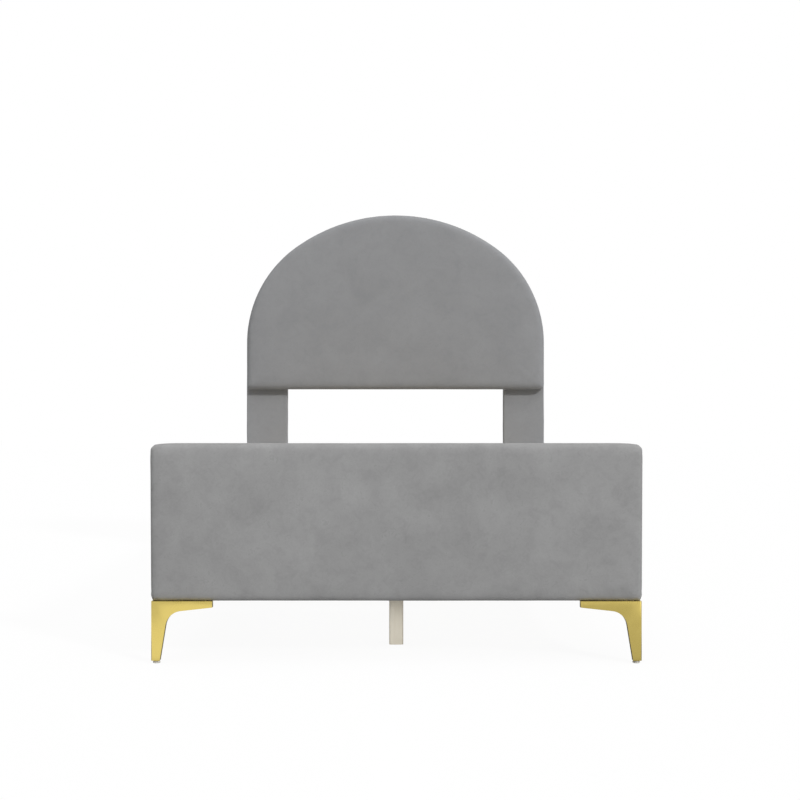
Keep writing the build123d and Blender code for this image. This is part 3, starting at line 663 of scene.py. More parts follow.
def crowned_rings(outline, low, high, roll, corner):
    """Rings of a panel, from its flat middle over the crown and round the edges to the back."""
    front, back = low.y + PUFF_GIVE, high.y
    rings = []
    crown_steps, roll_steps = 6, 6
    for step in range(crown_steps):
        share = step / crown_steps
        inset = CROWN_REACH + (roll - CROWN_REACH) * share
        rings.append((inset, front + CROWN * share ** 2))
    for step in range(roll_steps + 1):
        angle = QUARTER * step / roll_steps
        rings.append((roll * (1 - math.sin(angle)), front + CROWN + roll * (1 - math.cos(angle))))
    for step in range(3):
        angle = QUARTER * step / 2
        rings.append((BACK_ROLL * (1 - math.cos(angle)), back - BACK_ROLL * (1 - math.sin(angle))))
    return [
        [(x, y, z) for x, z in outline(inset, corner + CORNER_SPREAD * inset)] for inset, y in rings
    ]


def fit(panel, half_width, bottom, top):
    """Draw a panel by a hair to the width and the heights that it has in the photograph."""
    places = corners_of(panel)
    low, high = places.min(axis=0), places.max(axis=0)
    places[:, 0] *= half_width / high[0]
    places[:, 2] = bottom + (places[:, 2] - low[2]) / (high[2] - low[2]) * (top - bottom)
    move_corners(panel, places)


def pucker(obj, points, reach, height, folds):
    """Small folds that fan out from each point, as cloth gathers at a corner."""
    places = corners_of(obj)
    normals = normals_of(obj)
    rise = np.zeros(len(places))
    for point in points:
        away = places - np.array(point)
        distance = np.linalg.norm(away, axis=1)
        angle = np.arctan2(away[:, 2], away[:, 0])
        fade = np.exp(-((distance / reach) ** 2)) * np.clip(distance / (0.25 * reach), 0, 1)
        rise += height * fade * np.sin(folds * angle + point[0] * 3)
    move_corners(obj, places + normals * rise[:, None])


def clear_of_board(panel, low, high):
    """Bring out corners that have sunk too near to the board, so that it never shows through."""
    places = corners_of(panel)
    low, high = np.array(low) - FABRIC, np.array(high) + FABRIC
    sunk = ((places > low) & (places < high)).all(axis=1)
    for number in np.nonzero(sunk)[0]:
        gaps = np.concatenate([places[number] - low, high - places[number]])
        side = int(gaps.argmin())
        places[number, side % 3] = (low if side < 3 else high)[side % 3]
    move_corners(panel, places)


def pull_corners(panel, low, high):
    """Pull the footboard's cloth in a little towards its foot, and down at its two top corners."""
    places = corners_of(panel)
    share = np.clip((high.z - places[:, 2]) / (high.z - low.z), 0, 1)
    places[:, 0] *= 1 - FOOTBOARD_LEAN * share / high.x
    edge = np.clip((np.abs(places[:, 0]) - high.x + TOP_DROP_REACH) / TOP_DROP_REACH, 0, 1)
    places[:, 2] -= TOP_DROP * edge ** 2 * np.clip(1 - share * 4, 0, 1)
    move_corners(panel, places)


def padded_panel(board, outline, roll, corner, size, pocket, velvet):
    """One padded panel with a pocket for its board and an open window in its back."""
    cover = f"{board}_cover"
    low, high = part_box(cover)
    panel = lofted(f"{board}_upholstery", crowned_rings(outline, low, high, roll, corner))
    apply_modifier(panel, "REMESH", mode="VOXEL", voxel_size=PANEL_VOXEL, use_smooth_shade=True)
    apply_modifier(panel, "SMOOTH", factor=0.5, iterations=EASE_ROUNDS)
    front_edge = low.y + PUFF_GIVE + CROWN + roll * HELD_ROLL
    let_out(panel, corners_of(panel)[:, 1] > front_edge, PANEL_PRESSURE, PANEL_PUFF)
    subdivide(panel)
    fit(panel, *size)
    fold_x, fold_y = high.x - corner, low.y + CROWN + roll / 2
    levels = [low.z + corner]
    if board == "footboard":
        pull_corners(panel, low, high)
        levels.append(high.z - corner)
    gathers = [(side * fold_x, fold_y, z) for side in (-1, 1) for z in levels]
    pucker(panel, gathers, reach=0.028, height=0.0004, folds=5)
    ripple(panel, [(0.16, 0.0010), (0.06, 0.0004)], toward=(0, -1, 0))
    board_low, board_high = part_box(f"{board}_core")
    if board == "footboard":
        clear_of_board(panel, board_low, board_high)
    window = outline(RETURN_WIDTH, BOARD_CORNER)
    cut(
        panel,
        prism("pocket", pocket, board_low.y - GAP, board_high.y),
        prism("window", window, board_high.y - FABRIC, high.y + FABRIC),
    )
    place_padded(panel, velvet, 0.8, cover, f"{board}_foam")


padded_panel(
    "headboard",
    arch_outline,
    PANEL_ROLL,
    PANEL_CORNER,
    (PANEL_HALF_WIDTH, PANEL_BOTTOM, PANEL_TOP),
    arch_outline(EDGE_FOAM - GAP, BOARD_CORNER),
    materials["velvet"],
)
core_low, core_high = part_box("footboard_core")
pocket_bottom, pocket_top = core_low.z - GAP, core_high.z + GAP
padded_panel(
    "footboard",
    footboard_outline,
    FOOTBOARD_ROLL,
    FOOTBOARD_CORNER,
    (FOOTBOARD_HALF_WIDTH, FOOTBOARD_BOTTOM, FOOTBOARD_TOP),
    rounded_outline(core_high.x + GAP, pocket_bottom, pocket_top, BOARD_CORNER, BOARD_CORNER),
    brushed_velvet,
)


# Side rails

def rail_rings(low, high):
    """Sections of the right rail along its length, its foam drawn in a little at its two ends."""
    tucks = [(span * RAIL_END, RAIL_END_TUCK * (1 - span) ** 2) for span in RAIL_END_SPANS]
    middle = high.y - low.y - 2 * RAIL_END
    places = [(low.y + reach, tuck) for reach, tuck in tucks]
    places += [(low.y + RAIL_END + middle * step / RAIL_STEPS, 0) for step in range(1, RAIL_STEPS)]
    places += [(high.y - reach, tuck) for reach, tuck in reversed(tucks)]
    near = (low.x - RAIL_SKIN, low.z - RAIL_SKIN)
    radii = (RAIL_ROLL, RAIL_ROLL, RAIL_FOLD, RAIL_FOLD)
    rings = []
    for y, tuck in places:
        far = (high.x - tuck, high.z - tuck)
        ring = rounded_ring(near, far, radii, (6, 6, 3, 3), (24, 2, 12, 2))
        rings.append([(x, y, z) for x, z in ring])
    return rings


def mirrored(obj, name):
    """The same piece on the other side of the bed, its faces turned outwards again."""
    twin = linked(name, obj.data.copy())
    twin.data.transform(Matrix.Scale(-1, 4, (1, 0, 0)))
    twin.data.flip_normals()
    return twin


def side_rails():
    low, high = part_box("right_rail_cover")
    board_low, board_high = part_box("right_rail_board")
    rail = lofted("right_rail_upholstery", rail_rings(low, high))
    places = corners_of(rail)
    ends = (places[:, 1] < low.y + RAIL_FOLD) | (places[:, 1] > high.y - RAIL_FOLD)
    wrapped = (places[:, 0] < low.x + RAIL_FOLD) | (places[:, 2] < low.z + RAIL_FOLD)
    let_out(rail, wrapped | ends, RAIL_PRESSURE, RAIL_PUFF)
    subdivide(rail)
    ripple(rail, [(0.22, 0.0010), (0.07, 0.0004)], toward=(1, 0, 0))
    pocket_low = (board_low.x, low.y - 1, board_low.z - GAP)
    pocket_high = (board_high.x + GAP, high.y + 1, board_high.z + GAP)
    window_low = (low.x - FABRIC, low.y - 1, low.z + RAIL_RETURN)
    window_high = (board_low.x + FABRIC, high.y + 1, high.z - RAIL_RETURN)
    cut(rail, block("pocket", pocket_low, pocket_high), block("window", window_low, window_high))
    for piece, side in ((rail, "right"), (mirrored(rail, "left_rail_upholstery"), "left")):
        place_padded(piece, materials["velvet"], 0.8, f"{side}_rail_cover", f"{side}_rail_foam")


side_rails()


# Posts and head rail, wrapped in velvet with no foam

def wrapped_post(side, side_name):
    """A post's velvet wrap: a thin skin round its core, with the sunk bolts' holes in its back."""
    low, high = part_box(f"{side_name}_post_cover")
    core_low, core_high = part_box(f"{side_name}_post_core")
    middle, half = (low + high) / 2, (high - low) / 2
    core_half = (core_high - core_low) / 2
    steps = 100
    levels = [(low.z + rise, tuck) for rise, tuck in POST_ENDS]
    levels += [(low.z + (high.z - low.z) * step / steps, 0) for step in range(1, steps)]
    levels += [(high.z - drop, tuck) for drop, tuck in reversed(POST_ENDS)]

    def section(half_x, half_y, corner, arc_steps, line_steps):
        near = (middle.x - half_x, middle.y - half_y)
        far = (middle.x + half_x, middle.y + half_y)
        return rounded_ring(near, far, (corner,) * 4, arc_steps, line_steps)

    rings = []
    for z, tuck in levels:
        ring = section(half.x - tuck, half.y - tuck, POST_EDGE, (5,) * 4, (6, 20, 6, 20))
        rings.append([(x, y, z) for x, y in ring])
    post = lofted(f"{side_name}_post_upholstery", rings)
    ripple(post, [(0.13, 0.0009), (0.05, 0.0004)])
    core = section(core_half.x, core_half.y, POST_CHAMFER, (1,) * 4, (1,) * 4)
    cutters = [lofted("core", [[(x, y, z) for x, y in core] for z in (core_low.z, core_high.z)])]
    outside = 0.02
    for place, facing, length, _ in fasteners_of("post_bolts"):
        if place.x * side > 0:
            mouth, depth = place + facing * outside, outside + BOLT_HEAD
            cutters.append(rod("recess", mouth, -facing, RECESS_RADIUS, depth))
            cutters.append(rod("hole", place, -facing, BOLT_HOLE, length + 0.01))
    cut(post, *cutters)
    place_padded(post, post_velvet_painted_lighter, 1.0, f"{side_name}_post_cover")


def solids_of(node):
    """The separate solids of a CAD node, as lists of their corners."""
    bm = bmesh.new()
    bm.from_mesh(frame["nodes"][node].data)
    bmesh.ops.remove_doubles(bm, verts=bm.verts, dist=MERGED)
    left, found = set(bm.verts), []
    while left:
        stack, group = [left.pop()], []
        while stack:
            corner = stack.pop()
            group.append(corner.co.copy())
            for edge in corner.link_edges:
                other = edge.other_vert(corner)
                if other in left:
                    left.remove(other)
                    stack.append(other)
        found.append(group)
    bm.free()
    return found


def fasteners_of(node):
    """Each bolt or screw of a node: its head's top, the way it faces, its length and radius."""
    found = []
    for corners in solids_of(node):
        low = Vector([min(c[axis] for c in corners) for axis in range(3)])
        high = Vector([max(c[axis] for c in corners) for axis in range(3)])
        size, place = high - low, (high + low) / 2
        axis = max(range(3), key=lambda number: size[number])

        def reach(corner):
            across = corner - place
            across[axis] = 0
            return across.length

        widest = max(corners, key=reach)
        facing = Vector((0, 0, 0))
        facing[axis] = 1 if widest[axis] > place[axis] else -1
        found.append((place + facing * size[axis] / 2, facing, size[axis], reach(widest)))
    return sorted(found, key=lambda row: tuple(round(v, 4) for v in row[0]))


for side, side_name in ((-1, "left"), (1, "right")):
    wrapped_post(side, side_name)


def head_rail():
    """The head rail's velvet wrap, open at its two ends, where the side rails close it."""
    low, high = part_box("head_rail_cover")
    core_low, core_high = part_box("head_rail_board")
    radii = (HEAD_RAIL_FOLD,) * 4
    ring = rounded_ring((low.y, low.z), (high.y, high.z), radii, (4,) * 4, (24, 4, 24, 4))
    steps = 80
    places = [low.x + (high.x - low.x) * step / steps for step in range(steps + 1)]
    rail = lofted("head_rail_upholstery", [[(x, y, z) for y, z in ring] for x in places])
    ripple(rail, [(0.12, 0.0004), (0.05, 0.0002)])
    reach = 0.01
    core_ends = (low.x - reach, core_low.y, core_low.z), (high.x + reach, core_high.y, core_high.z)
    cut(rail, block("core", *core_ends))
    place_padded(rail, materials["velvet"], 1.0, "head_rail_cover")


head_rail()


# Turned and pressed metal

def turned(name, profile, sides=24):
    """A closed form turned about Z from (radius, height) rings; a third value bends the radius."""
    rings = []
    for radius, height, *bend in profile:
        ring = []
        for side in range(sides):
            angle = 2 * math.pi * side / sides
            bent = radius * bend[0](angle) if bend else radius
            ring.append((bent * math.cos(angle), bent * math.sin(angle), height))
        rings.append(ring)
    return lofted(name, rings)


def hexagon(angle):
    return 1 / math.cos((angle + math.pi / 6) % (math.pi / 3) - math.pi / 6) * math.cos(math.pi / 6)


def cross(angle):
    return 1.0 if abs((angle + math.pi / 4) % QUARTER - math.pi / 4) < math.radians(16) else 0.36


def threads(radius, start, end, pitch):
    """Rings of a screw thread up a shank, from its end to its start, as a row of small ridges."""
    rings = []
    for turn in range(int((start - end) / pitch)):
        height = start - turn * pitch
        rings += [(radius * 0.82, height), (radius, height - pitch / 2)]
    return rings[::-1]


BUTTON_HEAD = ((0.97, 0), (1, 0.15), (0.97, 0.45), (0.85, 0.78), (0.68, 1))
ROUNDED_PAN = ((0.96, 0), (1, 0.2), (0.94, 0.6), (0.76, 0.92))


def socket_bolt(name, head_radius, head_height, radius, length):
    """A button-head bolt with a hexagon socket, its head's top at the origin."""
    shank = length - head_height
    socket = head_radius * 0.5
    profile = [(radius * 0.6, -length), (radius, radius * 0.4 - length)]
    profile += threads(radius, -head_height - shank * 0.5, radius - length, 0.0016)
    profile += [(radius, -head_height - shank * 0.45), (radius, -head_height)]
    profile += [(head_radius * out, head_height * (up - 1)) for out, up in BUTTON_HEAD]
    profile += [
        (socket * 1.08, 0.0, hexagon),
        (socket, -0.0003, hexagon),
        (socket, -head_height * 0.65, hexagon),
        (socket * 0.3, -head_height * 0.75, hexagon),
    ]
    return turned(name, profile)


def cross_screw(name, head_radius, head_height, radius, length, sunk=False):
    """A wood screw with a cross recess, pan-headed or sunk, its head's top at the origin."""
    profile = [(radius * 0.1, -length)]
    profile += threads(radius, -head_height - 0.002, 0.003 - length, 0.0018)
    profile += [(radius * 0.8, -head_height - 0.0005), (radius * 0.8, -head_height)]
    if sunk:
        profile += [(head_radius, -0.0002), (head_radius * 0.97, 0.0)]
    else:
        profile += [(head_radius * out, head_height * (up - 1)) for out, up in ROUNDED_PAN]
    recess = head_radius * 0.62
    profile += [
        (recess * 1.05, 0.0, cross),
        (recess, -0.0002, cross),
        (recess * 0.55, -head_height * 0.8, cross),
        (recess * 0.2, -head_height * 0.9, cross),
    ]
    return turned(name, profile)


def staple():
    """One staple: a flat wire crown just proud of the cloth, its two legs driven in."""
    half, wire, legs, bend = 0.0055, 0.00055, 0.006, 0.001
    path = [(-half, -legs), (-half, -bend), (-half + bend * 0.3, -bend * 0.3), (-half + bend, 0)]
    path += [(-x, z) for x, z in reversed(path)]
    rings = []
    for number, (x, z) in enumerate(path):
        before, after = path[max(number - 1, 0)], path[min(number + 1, len(path) - 1)]
        along = Vector((after[0] - before[0], 0, after[1] - before[1])).normalized()
        across = Vector((-along.z, 0, along.x)) * wire / 2
        middle, side = Vector((x, 0, z)), Vector((0, wire, 0))
        signs = ((1, 1), (-1, 1), (-1, -1), (1, -1))
        rings.append([middle + across * u + side * v for u, v in signs])
    return lofted("staple_shape", rings)


# Repeats, by geometry nodes

def repeat_tree(name, along_paths):
    """Copies of a template on points, or spaced along paths, each turned to its facing."""
    tree = bpy.data.node_groups.new(name, "GeometryNodeTree")
    rows = {
        "Geometry": "NodeSocketGeometry",
        "Template": "NodeSocketObject",
        "Turn": "NodeSocketFloat",
        "Seed": "NodeSocketInt",
        "Material": "NodeSocketMaterial",
    }
    if along_paths:
        rows["Spacing"] = "NodeSocketFloat"
    for label, kind in rows.items():
        tree.interface.new_socket(name=label, in_out="INPUT", socket_type=kind)
    tree.interface.new_socket(name="Geometry", in_out="OUTPUT", socket_type="NodeSocketGeometry")
    made = Nodes(tree)
    given = tree.nodes.new("NodeGroupInput").outputs
    inputs = {label: Socket(made, given[label]) for label in rows}
    points = inputs["Geometry"]
    named = "GeometryNodeInputNamedAttribute"
    aligned = "FunctionNodeAlignRotationToVector"
    facing = made.node(named, {"Name": "facing"}, data_type="FLOAT_VECTOR")
    rotation = made.node(aligned, {"Vector": facing}, axis="Z")
    if along_paths:
        curve = made.node("GeometryNodeMeshToCurve", {"Mesh": points})
        spaced = {"Curve": curve, "Length": inputs["Spacing"]}
        points = made.node("GeometryNodeResampleCurve", spaced, mode="LENGTH")
        turning = {"Rotation": rotation, "Vector": made.node("GeometryNodeInputTangent")}
        rotation = made.node(aligned, turning, axis="X", pivot_axis="Z")
    limits = {"Min": -1 * inputs["Turn"], "Max": inputs["Turn"], "Seed": inputs["Seed"]}
    angle = made.node("FunctionNodeRandomValue", limits, "Value", data_type="FLOAT")
    twist = made.node("FunctionNodeAxisAngleToRotation", {"Axis": (0, 0, 1), "Angle": angle})
    turning = {"Rotation": rotation, "Rotate By": twist}
    rotation = made.node("FunctionNodeRotateRotation", turning, rotation_space="LOCAL")
    template = made.node("GeometryNodeObjectInfo", {"Object": inputs["Template"]}, "Geometry")
    placed = {"Points": points, "Instance": template, "Rotation": rotation}
    copies = made.node("GeometryNodeInstanceOnPoints", placed)
    real = made.node("GeometryNodeRealizeInstances", {"Geometry": copies})
    coated = {"Geometry": real, "Material": inputs["Material"]}
    finished = made.node("GeometryNodeSetMaterial", coated)
    tree.links.new(finished.output, tree.nodes.new("NodeGroupOutput").inputs["Geometry"])
    return tree


def repeated(name, tree, points, edges, facings, **values):
    """Run a repeat tree over points or paths, and keep what it makes as a plain mesh."""
    mesh = bpy.data.meshes.new(name)
    mesh.from_pydata([tuple(p) for p in points], edges, [])
    facing = mesh.attributes.new("facing", "FLOAT_VECTOR", "POINT")
    facing.data.foreach_set("vector", [value for row in facings for value in row])
    obj = linked(name, mesh)
    modifier = obj.modifiers.new("Repeats", "NODES")
    modifier.node_group = tree
    for item in tree.interface.items_tree:
        if item.name in values:
            modifier[item.identifier] = values[item.name]
    settle(obj)
    if "facing" in obj.data.attributes:
        obj.data.attributes.remove(obj.data.attributes["facing"])
    bpy.data.objects.remove(values["Template"])
    smooth(obj, SMALL_SHARP)
    return obj


fastener_tree = repeat_tree("fasteners_on_points", along_paths=False)
staple_tree = repeat_tree("staples_on_paths", along_paths=True)


def fastener_set(name, node, seed, shape, *sizes, **settings):
    """All the bolts or screws of a CAD node, one piece for each length, each turned at random."""
    rows = fasteners_of(node)
    slot = slot_of[node]
    metal = materials[slot]
    lengths = sorted({round(row[2], 4) for row in rows})
    for length in lengths:
        own = [row for row in rows if round(row[2], 4) == length]
        template = shape(f"{name}_shape", own[0][3], *sizes, length, **settings)
        points, facings = [row[0] for row in own], [row[1] for row in own]
        piece_name = name if len(lengths) == 1 else f"{name}_{round(length * 1000)}_mm"
        values = {"Template": template, "Turn": math.pi, "Seed": seed, "Material": metal}
        piece = repeated(piece_name, fastener_tree, points, [], facings, **values)
        place_piece(piece, metal, slot, node)


fastener_set("bracket_button_bolts", "bracket_bolts", 2, socket_bolt, BOLT_HEAD, BOLT_RADIUS)
fastener_set("post_button_bolts", "post_bolts", 3, socket_bolt, BOLT_HEAD, BOLT_RADIUS)
fastener_set("leg_pan_screws", "leg_screws", 5, cross_screw, PAN_HEAD, SCREW_RADIUS)
fastener_set("hanger_pan_screws", "hanger_screws", 7, cross_screw, PAN_HEAD, SCREW_RADIUS)
fastener_set("deck_sunk_screws", "deck_screws", 11, cross_screw, SUNK_HEAD, SCREW_RADIUS, sunk=True)


# Pressed and sawn parts, whose packed edges are eased

def eased(node, name, width, painted_dark_edge=None):
    """A copy of a CAD node with its doubles merged and its sharp edges rounded.

    The rounded edges may have a finish of their own: a darker gold there is painted dark reflection.
    """
    piece = linked(name, frame["nodes"][node].data.copy())
    bm = bmesh.new()
    bm.from_mesh(piece.data)
    bmesh.ops.remove_doubles(bm, verts=bm.verts, dist=MERGED)
    bmesh.ops.dissolve_limit(bm, angle_limit=math.radians(0.5), verts=bm.verts, edges=bm.edges)
    bm.to_mesh(piece.data)
    bm.free()
    piece.data.materials.clear()
    for material in (finish_of(node), painted_dark_edge or finish_of(node)):
        piece.data.materials.append(material)
    apply_modifier(
        piece,
        "BEVEL",
        width=width,
        segments=2,
        limit_method="ANGLE",
        angle_limit=EDGE_SHARP,
        use_clamp_overlap=True,
        material=1 if painted_dark_edge else 0,
    )
    smooth(piece, EDGE_SHARP)
    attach(piece, MAIN_BODY)
    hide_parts(node)


# The gold legs' bevelled edges get the darker gold: painted dark reflection
for corner_name in CORNERS:
    eased(f"{corner_name}_leg", f"{corner_name}_gold_leg", 0.0022, gold_painted_dark_edge)
for node in ("corner_brackets", "foot_beam_hanger", "head_beam_hanger"):
    eased(node, f"{node}_pressed", 0.0005)
for node in ("corner_blocks", "center_beam", "left_slat_ledge", "right_slat_ledge"):
    eased(node, f"{node}_eased", 0.0012)
for node in ("foot_center_leg", "middle_center_leg", "head_center_leg"):
    eased(node, f"{node}_eased", 0.0010)


# Rings of a levelling foot's pad, as shares of its radius, and of its hexagon, with their heights
PAD_RINGS = (
    (0.80, 0.0),
    (0.90, 0.0004),
    (0.97, 0.0012),
    (1, 0.0022),
    (0.97, 0.0034),
    (0.88, 0.0042),
    (0.70, 0.0045),
)
HEXAGON_RINGS = ((0.0050, 0.0045), (0.0052, 0.0047), (0.0052, 0.0055), (0.0049, 0.0057))


def leveling_foot(corner_name):
    """A levelling foot: a moulded pad, a hexagon to turn it by and a threaded stem."""
    node = f"{corner_name}_leveling_foot"
    low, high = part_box(node)
    middle = (low + high) / 2
    radius = (high.x - low.x) / 2
    profile = [(radius * share, height) for share, height in PAD_RINGS]
    profile += [(across, height, hexagon) for across, height in HEXAGON_RINGS]
    profile += [(0.0026, 0.0057), (0.0026, 0.0062)]
    profile += threads(0.0030, high.z - 0.0006, 0.0064, 0.0010)
    profile += [(0.0024, high.z)]
    foot = turned(f"{corner_name}_screw_foot", profile, 36)
    foot.data.transform(Matrix.Translation((middle.x, middle.y, 0)))
    smooth(foot, SMALL_SHARP)
    place_piece(foot, materials["foot_plastic"], "foot_plastic", node, body=node)


for corner_name in CORNERS:
    leveling_foot(corner_name)


# Back cloths, slat tapes and the staples that hold them

def filled_outline(name, outline, y):
    """A flat sheet inside an outline, with a grid of corners fine enough to hang in waves."""
    bm = bmesh.new()
    bm.faces.new([bm.verts.new((x, y, z)) for x, z in outline])
    for axis, values in zip((0, 2), zip(*outline)):
        low, high = min(values), max(values)
        count = int((high - low) / SHEET_STEP)
        for step in range(1, count):
            place, normal = [0, y, 0], [0, 0, 0]
            place[axis] = low + (high - low) * step / count
            normal[axis] = 1
            parts = bm.verts[:] + bm.edges[:] + bm.faces[:]
            bmesh.ops.bisect_plane(bm, geom=parts, plane_co=place, plane_no=normal)
    mesh = bpy.data.meshes.new(name)
    bm.to_mesh(mesh)
    bm.free()
    return linked(name, mesh)


def outline_area(outline):
    pairs = zip(outline, outline[1:] + outline[:1])
    return abs(sum(x0 * z1 - x1 * z0 for (x0, z0), (x1, z1) in pairs)) / 2


def back_cloth(name, node, outline):
    """A dust cloth stretched over a back window, slack by a hair between its staples."""
    low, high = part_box(node)
    cloth = filled_outline(name, outline, high.y - 0.0008)
    places = corners_of(cloth)
    for number, point in enumerate(places):
        wave = noise.noise(Vector((point[0] * 9, 1.7, point[2] * 5)))
        fine = noise.noise(Vector((point[0] * 30, 4.1, point[2] * 22)))
        places[number, 1] += 0.0004 * wave + 0.0001 * fine
    move_corners(cloth, places)
    apply_modifier(cloth, "SOLIDIFY", thickness=CLOTH, offset=0)
    smooth(cloth, SHEET_SHARP)
    place_piece(cloth, materials["dust_cloth"], "dust_cloth", node)
    outline_area(outline)
    return high.y


def staple_row(name, paths, facing, seed, spacing):
    """Staples spaced along paths, each path closed if its last point meets its first."""
    points, edges = [], []
    for path in paths:
        first = len(points)
        points += path
        edges += [(number, number + 1) for number in range(first, len(points) - 1)]
    zinc = materials["zinc_steel"]
    values = {"Template": staple(), "Turn": STAPLE_TURN, "Seed": seed, "Material": zinc}
    values["Spacing"] = spacing
    piece = repeated(name, staple_tree, points, edges, [facing] * len(points), **values)
    place_piece(piece, zinc, "zinc_steel")


def looped(outline, y):
    return [(x, y, z) for x, z in outline + outline[:1]]


for board, outline in (("headboard", arch_outline), ("footboard", footboard_outline)):
    inset = RETURN_WIDTH + GAP
    window = outline(inset, BOARD_CORNER)
    back = back_cloth(f"{board}_dust_cloth", f"{board}_back_cloth", window)
    edge = looped(outline(inset + STAPLE_INSET, BOARD_CORNER), back - 0.0004)
    staple_row(f"{board}_cloth_staples", [edge], (0, 1, 0), seed=21, spacing=CLOTH_STAPLES)
    edge = looped(outline(RETURN_WIDTH - 0.012, BOARD_CORNER), back + 0.0001)
    staple_row(f"{board}_return_staples", [edge], (0, 1, 0), seed=22, spacing=RETURN_STAPLES)


def rail_staples():
    """Staples that hold the rails' returns on their inner faces."""
    low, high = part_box("right_rail_cover")
    margin, row = 0.03, RAIL_RETURN - 0.010
    for side, side_name in ((-1, "left"), (1, "right")):
        x = side * (low.x - 0.0001)
        levels = (low.z + row, high.z - row)
        paths = [[(x, low.y + margin, z), (x, high.y - margin, z)] for z in levels]
        facing = (-side, 0, 0)
        staple_row(f"{side_name}_rail_staples", paths, facing, seed=31 + side, spacing=RETURN_STAPLES)


rail_staples()


def slat_tape(side_name):
    """A woven tape stapled under each slat, that sags a little from one slat to the next."""
    node = f"{side_name}_slat_strap"
    low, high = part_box(node)
    first_low, first_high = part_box("slat_01")
    slat_names = sorted(name for name in frame["nodes"] if name.startswith("slat_"))
    slats = sorted(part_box(name)[0].y for name in slat_names)
    slat_width = first_high.y - first_low.y
    top = first_low.z - CLOTH / 2 - 0.0001
    steps, across = int((high.y - low.y) / SHEET_STEP), 6
    points, faces = [], []
    for step in range(steps + 1):
        y = low.y + (high.y - low.y) * step / steps
        z = top
        for near, far in zip(slats, slats[1:]):
            start = near + slat_width
            if start < y < far:
                z -= TAPE_SAG * math.sin(math.pi * (y - start) / (far - start))
        width = high.x - low.x
        points += [(low.x + width * column / across, y, z) for column in range(across + 1)]
    for step in range(steps):
        for column in range(across):
            first = step * (across + 1) + column
            faces.append([first, first + 1, first + across + 2, first + across + 1])
    tape = mesh_object(f"{side_name}_slat_tape", points, faces)
    apply_modifier(tape, "SOLIDIFY", thickness=TAPE, offset=0)
    smooth(tape, SHEET_SHARP)
    place_piece(tape, materials["webbing"], "webbing", node)
    middle, half, inset, z = (low.x + high.x) / 2, 0.006, 0.018, top - TAPE
    places = [y + reach for y in slats for reach in (inset, slat_width - inset)]
    paths = [[(middle - half, y, z), (middle + half, y, z)] for y in places]
    staple_row(f"{side_name}_tape_staples", paths, (0, 0, -1), seed=41, spacing=2 * half)


for side_name in ("left", "right"):
    slat_tape(side_name)


# Rigid CAD nodes keep their shape, and show with a better finish

for name, node in frame["nodes"].items():
    if not node.hide_render:
        dress(node, finish_of(name))


# Studio: a pale floor, soft light from above, a key light from the front right and a low spot

WORLD_LIGHT = 0.41
KEY_DIRECTION = (-0.84, 1.0, -0.70)
KEY_STRENGTH = 1.75
KEY_ANGLE = math.radians(7)
TOP_DIRECTION = (0, 0.25, -1)
TOP_STRENGTH = 1.35
TOP_ANGLE = math.radians(70)
FLOOR_HALF = 14.0
FLOOR_GLOW = 0.94
FLOOR_BOUNCE = (0.52, 0.52, 0.52, 1)
FLOOR_PAINT = (0.9, 0.9, 0.9, 1)
# Painted light on the floor as glossy rays see it: brighter on the left, and a painted shadow under
# the bed
LEFT_GLOW, RIGHT_GLOW = 1.5, 0.90
UNDER_GLOW = 0.15
UNDER_LENGTH, UNDER_WIDTH = (1.0, 1.06), (0.62, 0.80)
GLOW_REACH = 0.30
LOW_PLACE = (0.0, -3.0, 0.03)
LOW_DIRECTION = (0, 1, -0.015)
LOW_POWER = 95.0
LOW_CONE = math.radians(6.4)
LOW_SIZE = 0.01


def make_world():
    """Soft light from all round, and white for the camera, in metal and through glass."""
    world = bpy.data.worlds.new("studio")
    scene.world = world
    world.use_nodes = True
    made = Nodes(world.node_tree)
    made.tree.nodes.clear()
    seen = made.ray("Camera", "Glossy", "Transmission")
    light = made.light("ShaderNodeBackground", WORLD_LIGHT)
    white = made.light("ShaderNodeBackground", 1.0)
    choice = made.mix_shaders(seen, light, white)
    output = made.tree.nodes.new("ShaderNodeOutputWorld")
    made.tree.links.new(choice.output, output.inputs["Surface"])


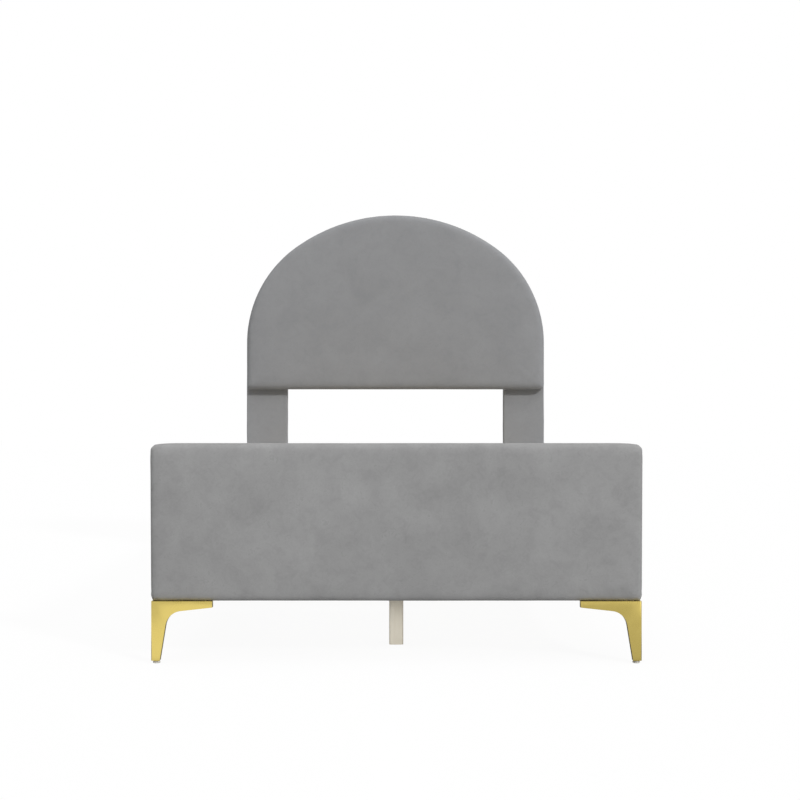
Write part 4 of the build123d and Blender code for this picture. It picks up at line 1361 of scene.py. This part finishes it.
def make_floor():
    """A pale floor that shows white, but for the object's shadow, and gives back some light.

    For glossy rays it holds painted light, brighter on the left than on the right, and a painted
    shadow under the bed, which metal mirrors.
    """
    half = FLOOR_HALF
    ends = [(-half, -half, 0), (half, -half, 0), (half, half, 0), (-half, half, 0)]
    floor = mesh_object("floor", ends, [[0, 1, 2, 3]])
    finish = Finish("pale_floor", roughness=0.9)
    across = finish.node("ShaderNodeSeparateXYZ", [finish.place])
    along = finish.node("ShaderNodeSeparateXYZ", [finish.place], 1)
    # Painted reflection light: a brighter pool on the left, and painted shadow under the bed, seen
    # only by glossy rays
    studio_side = finish.between(across, -GLOW_REACH, GLOW_REACH, 1.0, RIGHT_GLOW / LEFT_GLOW)
    past_end = finish.between(abs(along), *UNDER_LENGTH)
    past_side = finish.between(abs(across), *UNDER_WIDTH)
    open_floor = finish.math("MAXIMUM", past_end, past_side)
    share = studio_side * finish.between(open_floor, 0.0, 1.0, UNDER_GLOW, 1.0)
    dark, white, bright = (finish.light("ShaderNodeEmission", s) for s in (0.0, 1.0, LEFT_GLOW))
    glow = finish.mix_shaders(finish.ray("Glossy"), white, finish.mix_shaders(share, dark, bright))
    bounce = finish.node("ShaderNodeBsdfDiffuse", {"Color": FLOOR_BOUNCE})
    shadow = finish.node("ShaderNodeBsdfDiffuse", {"Color": FLOOR_PAINT})
    pale = finish.mix_shaders(FLOOR_GLOW, shadow, glow)
    seen = finish.ray("Camera", "Glossy", "Transmission")
    both = finish.mix_shaders(seen, bounce, pale)
    finish.tree.links.new(both.output, finish.tree.nodes["Material Output"].inputs["Surface"])
    dress(floor, finish.material)


def make_lamp(name, kind, place, direction, **settings):
    lamp = bpy.data.lights.new(name, kind)
    for key, value in settings.items():
        setattr(lamp, key, value)
    obj = linked(name, lamp)
    obj.location = place
    obj.rotation_euler = Vector(direction).to_track_quat("-Z", "Y").to_euler()


make_world()
make_floor()
make_lamp("key", "SUN", (3, -4, 3), KEY_DIRECTION, energy=KEY_STRENGTH, angle=KEY_ANGLE)
make_lamp("overhead", "SUN", (0, -1, 4), TOP_DIRECTION, energy=TOP_STRENGTH, angle=TOP_ANGLE)
spot = {"energy": LOW_POWER, "spot_size": LOW_CONE, "spot_blend": 1.0, "shadow_soft_size": LOW_SIZE}
make_lamp("low", "SPOT", LOW_PLACE, LOW_DIRECTION, **spot)

camera_data = bpy.data.cameras.new("camera")
camera_data.lens = CAMERA_LENS
camera_data.shift_x = CAMERA_SHIFT
camera = linked("camera", camera_data)
camera.location = CAMERA_PLACE
camera.rotation_euler = (math.radians(90), 0, 0)
scene.camera = camera
scene.view_settings.view_transform = "Standard"
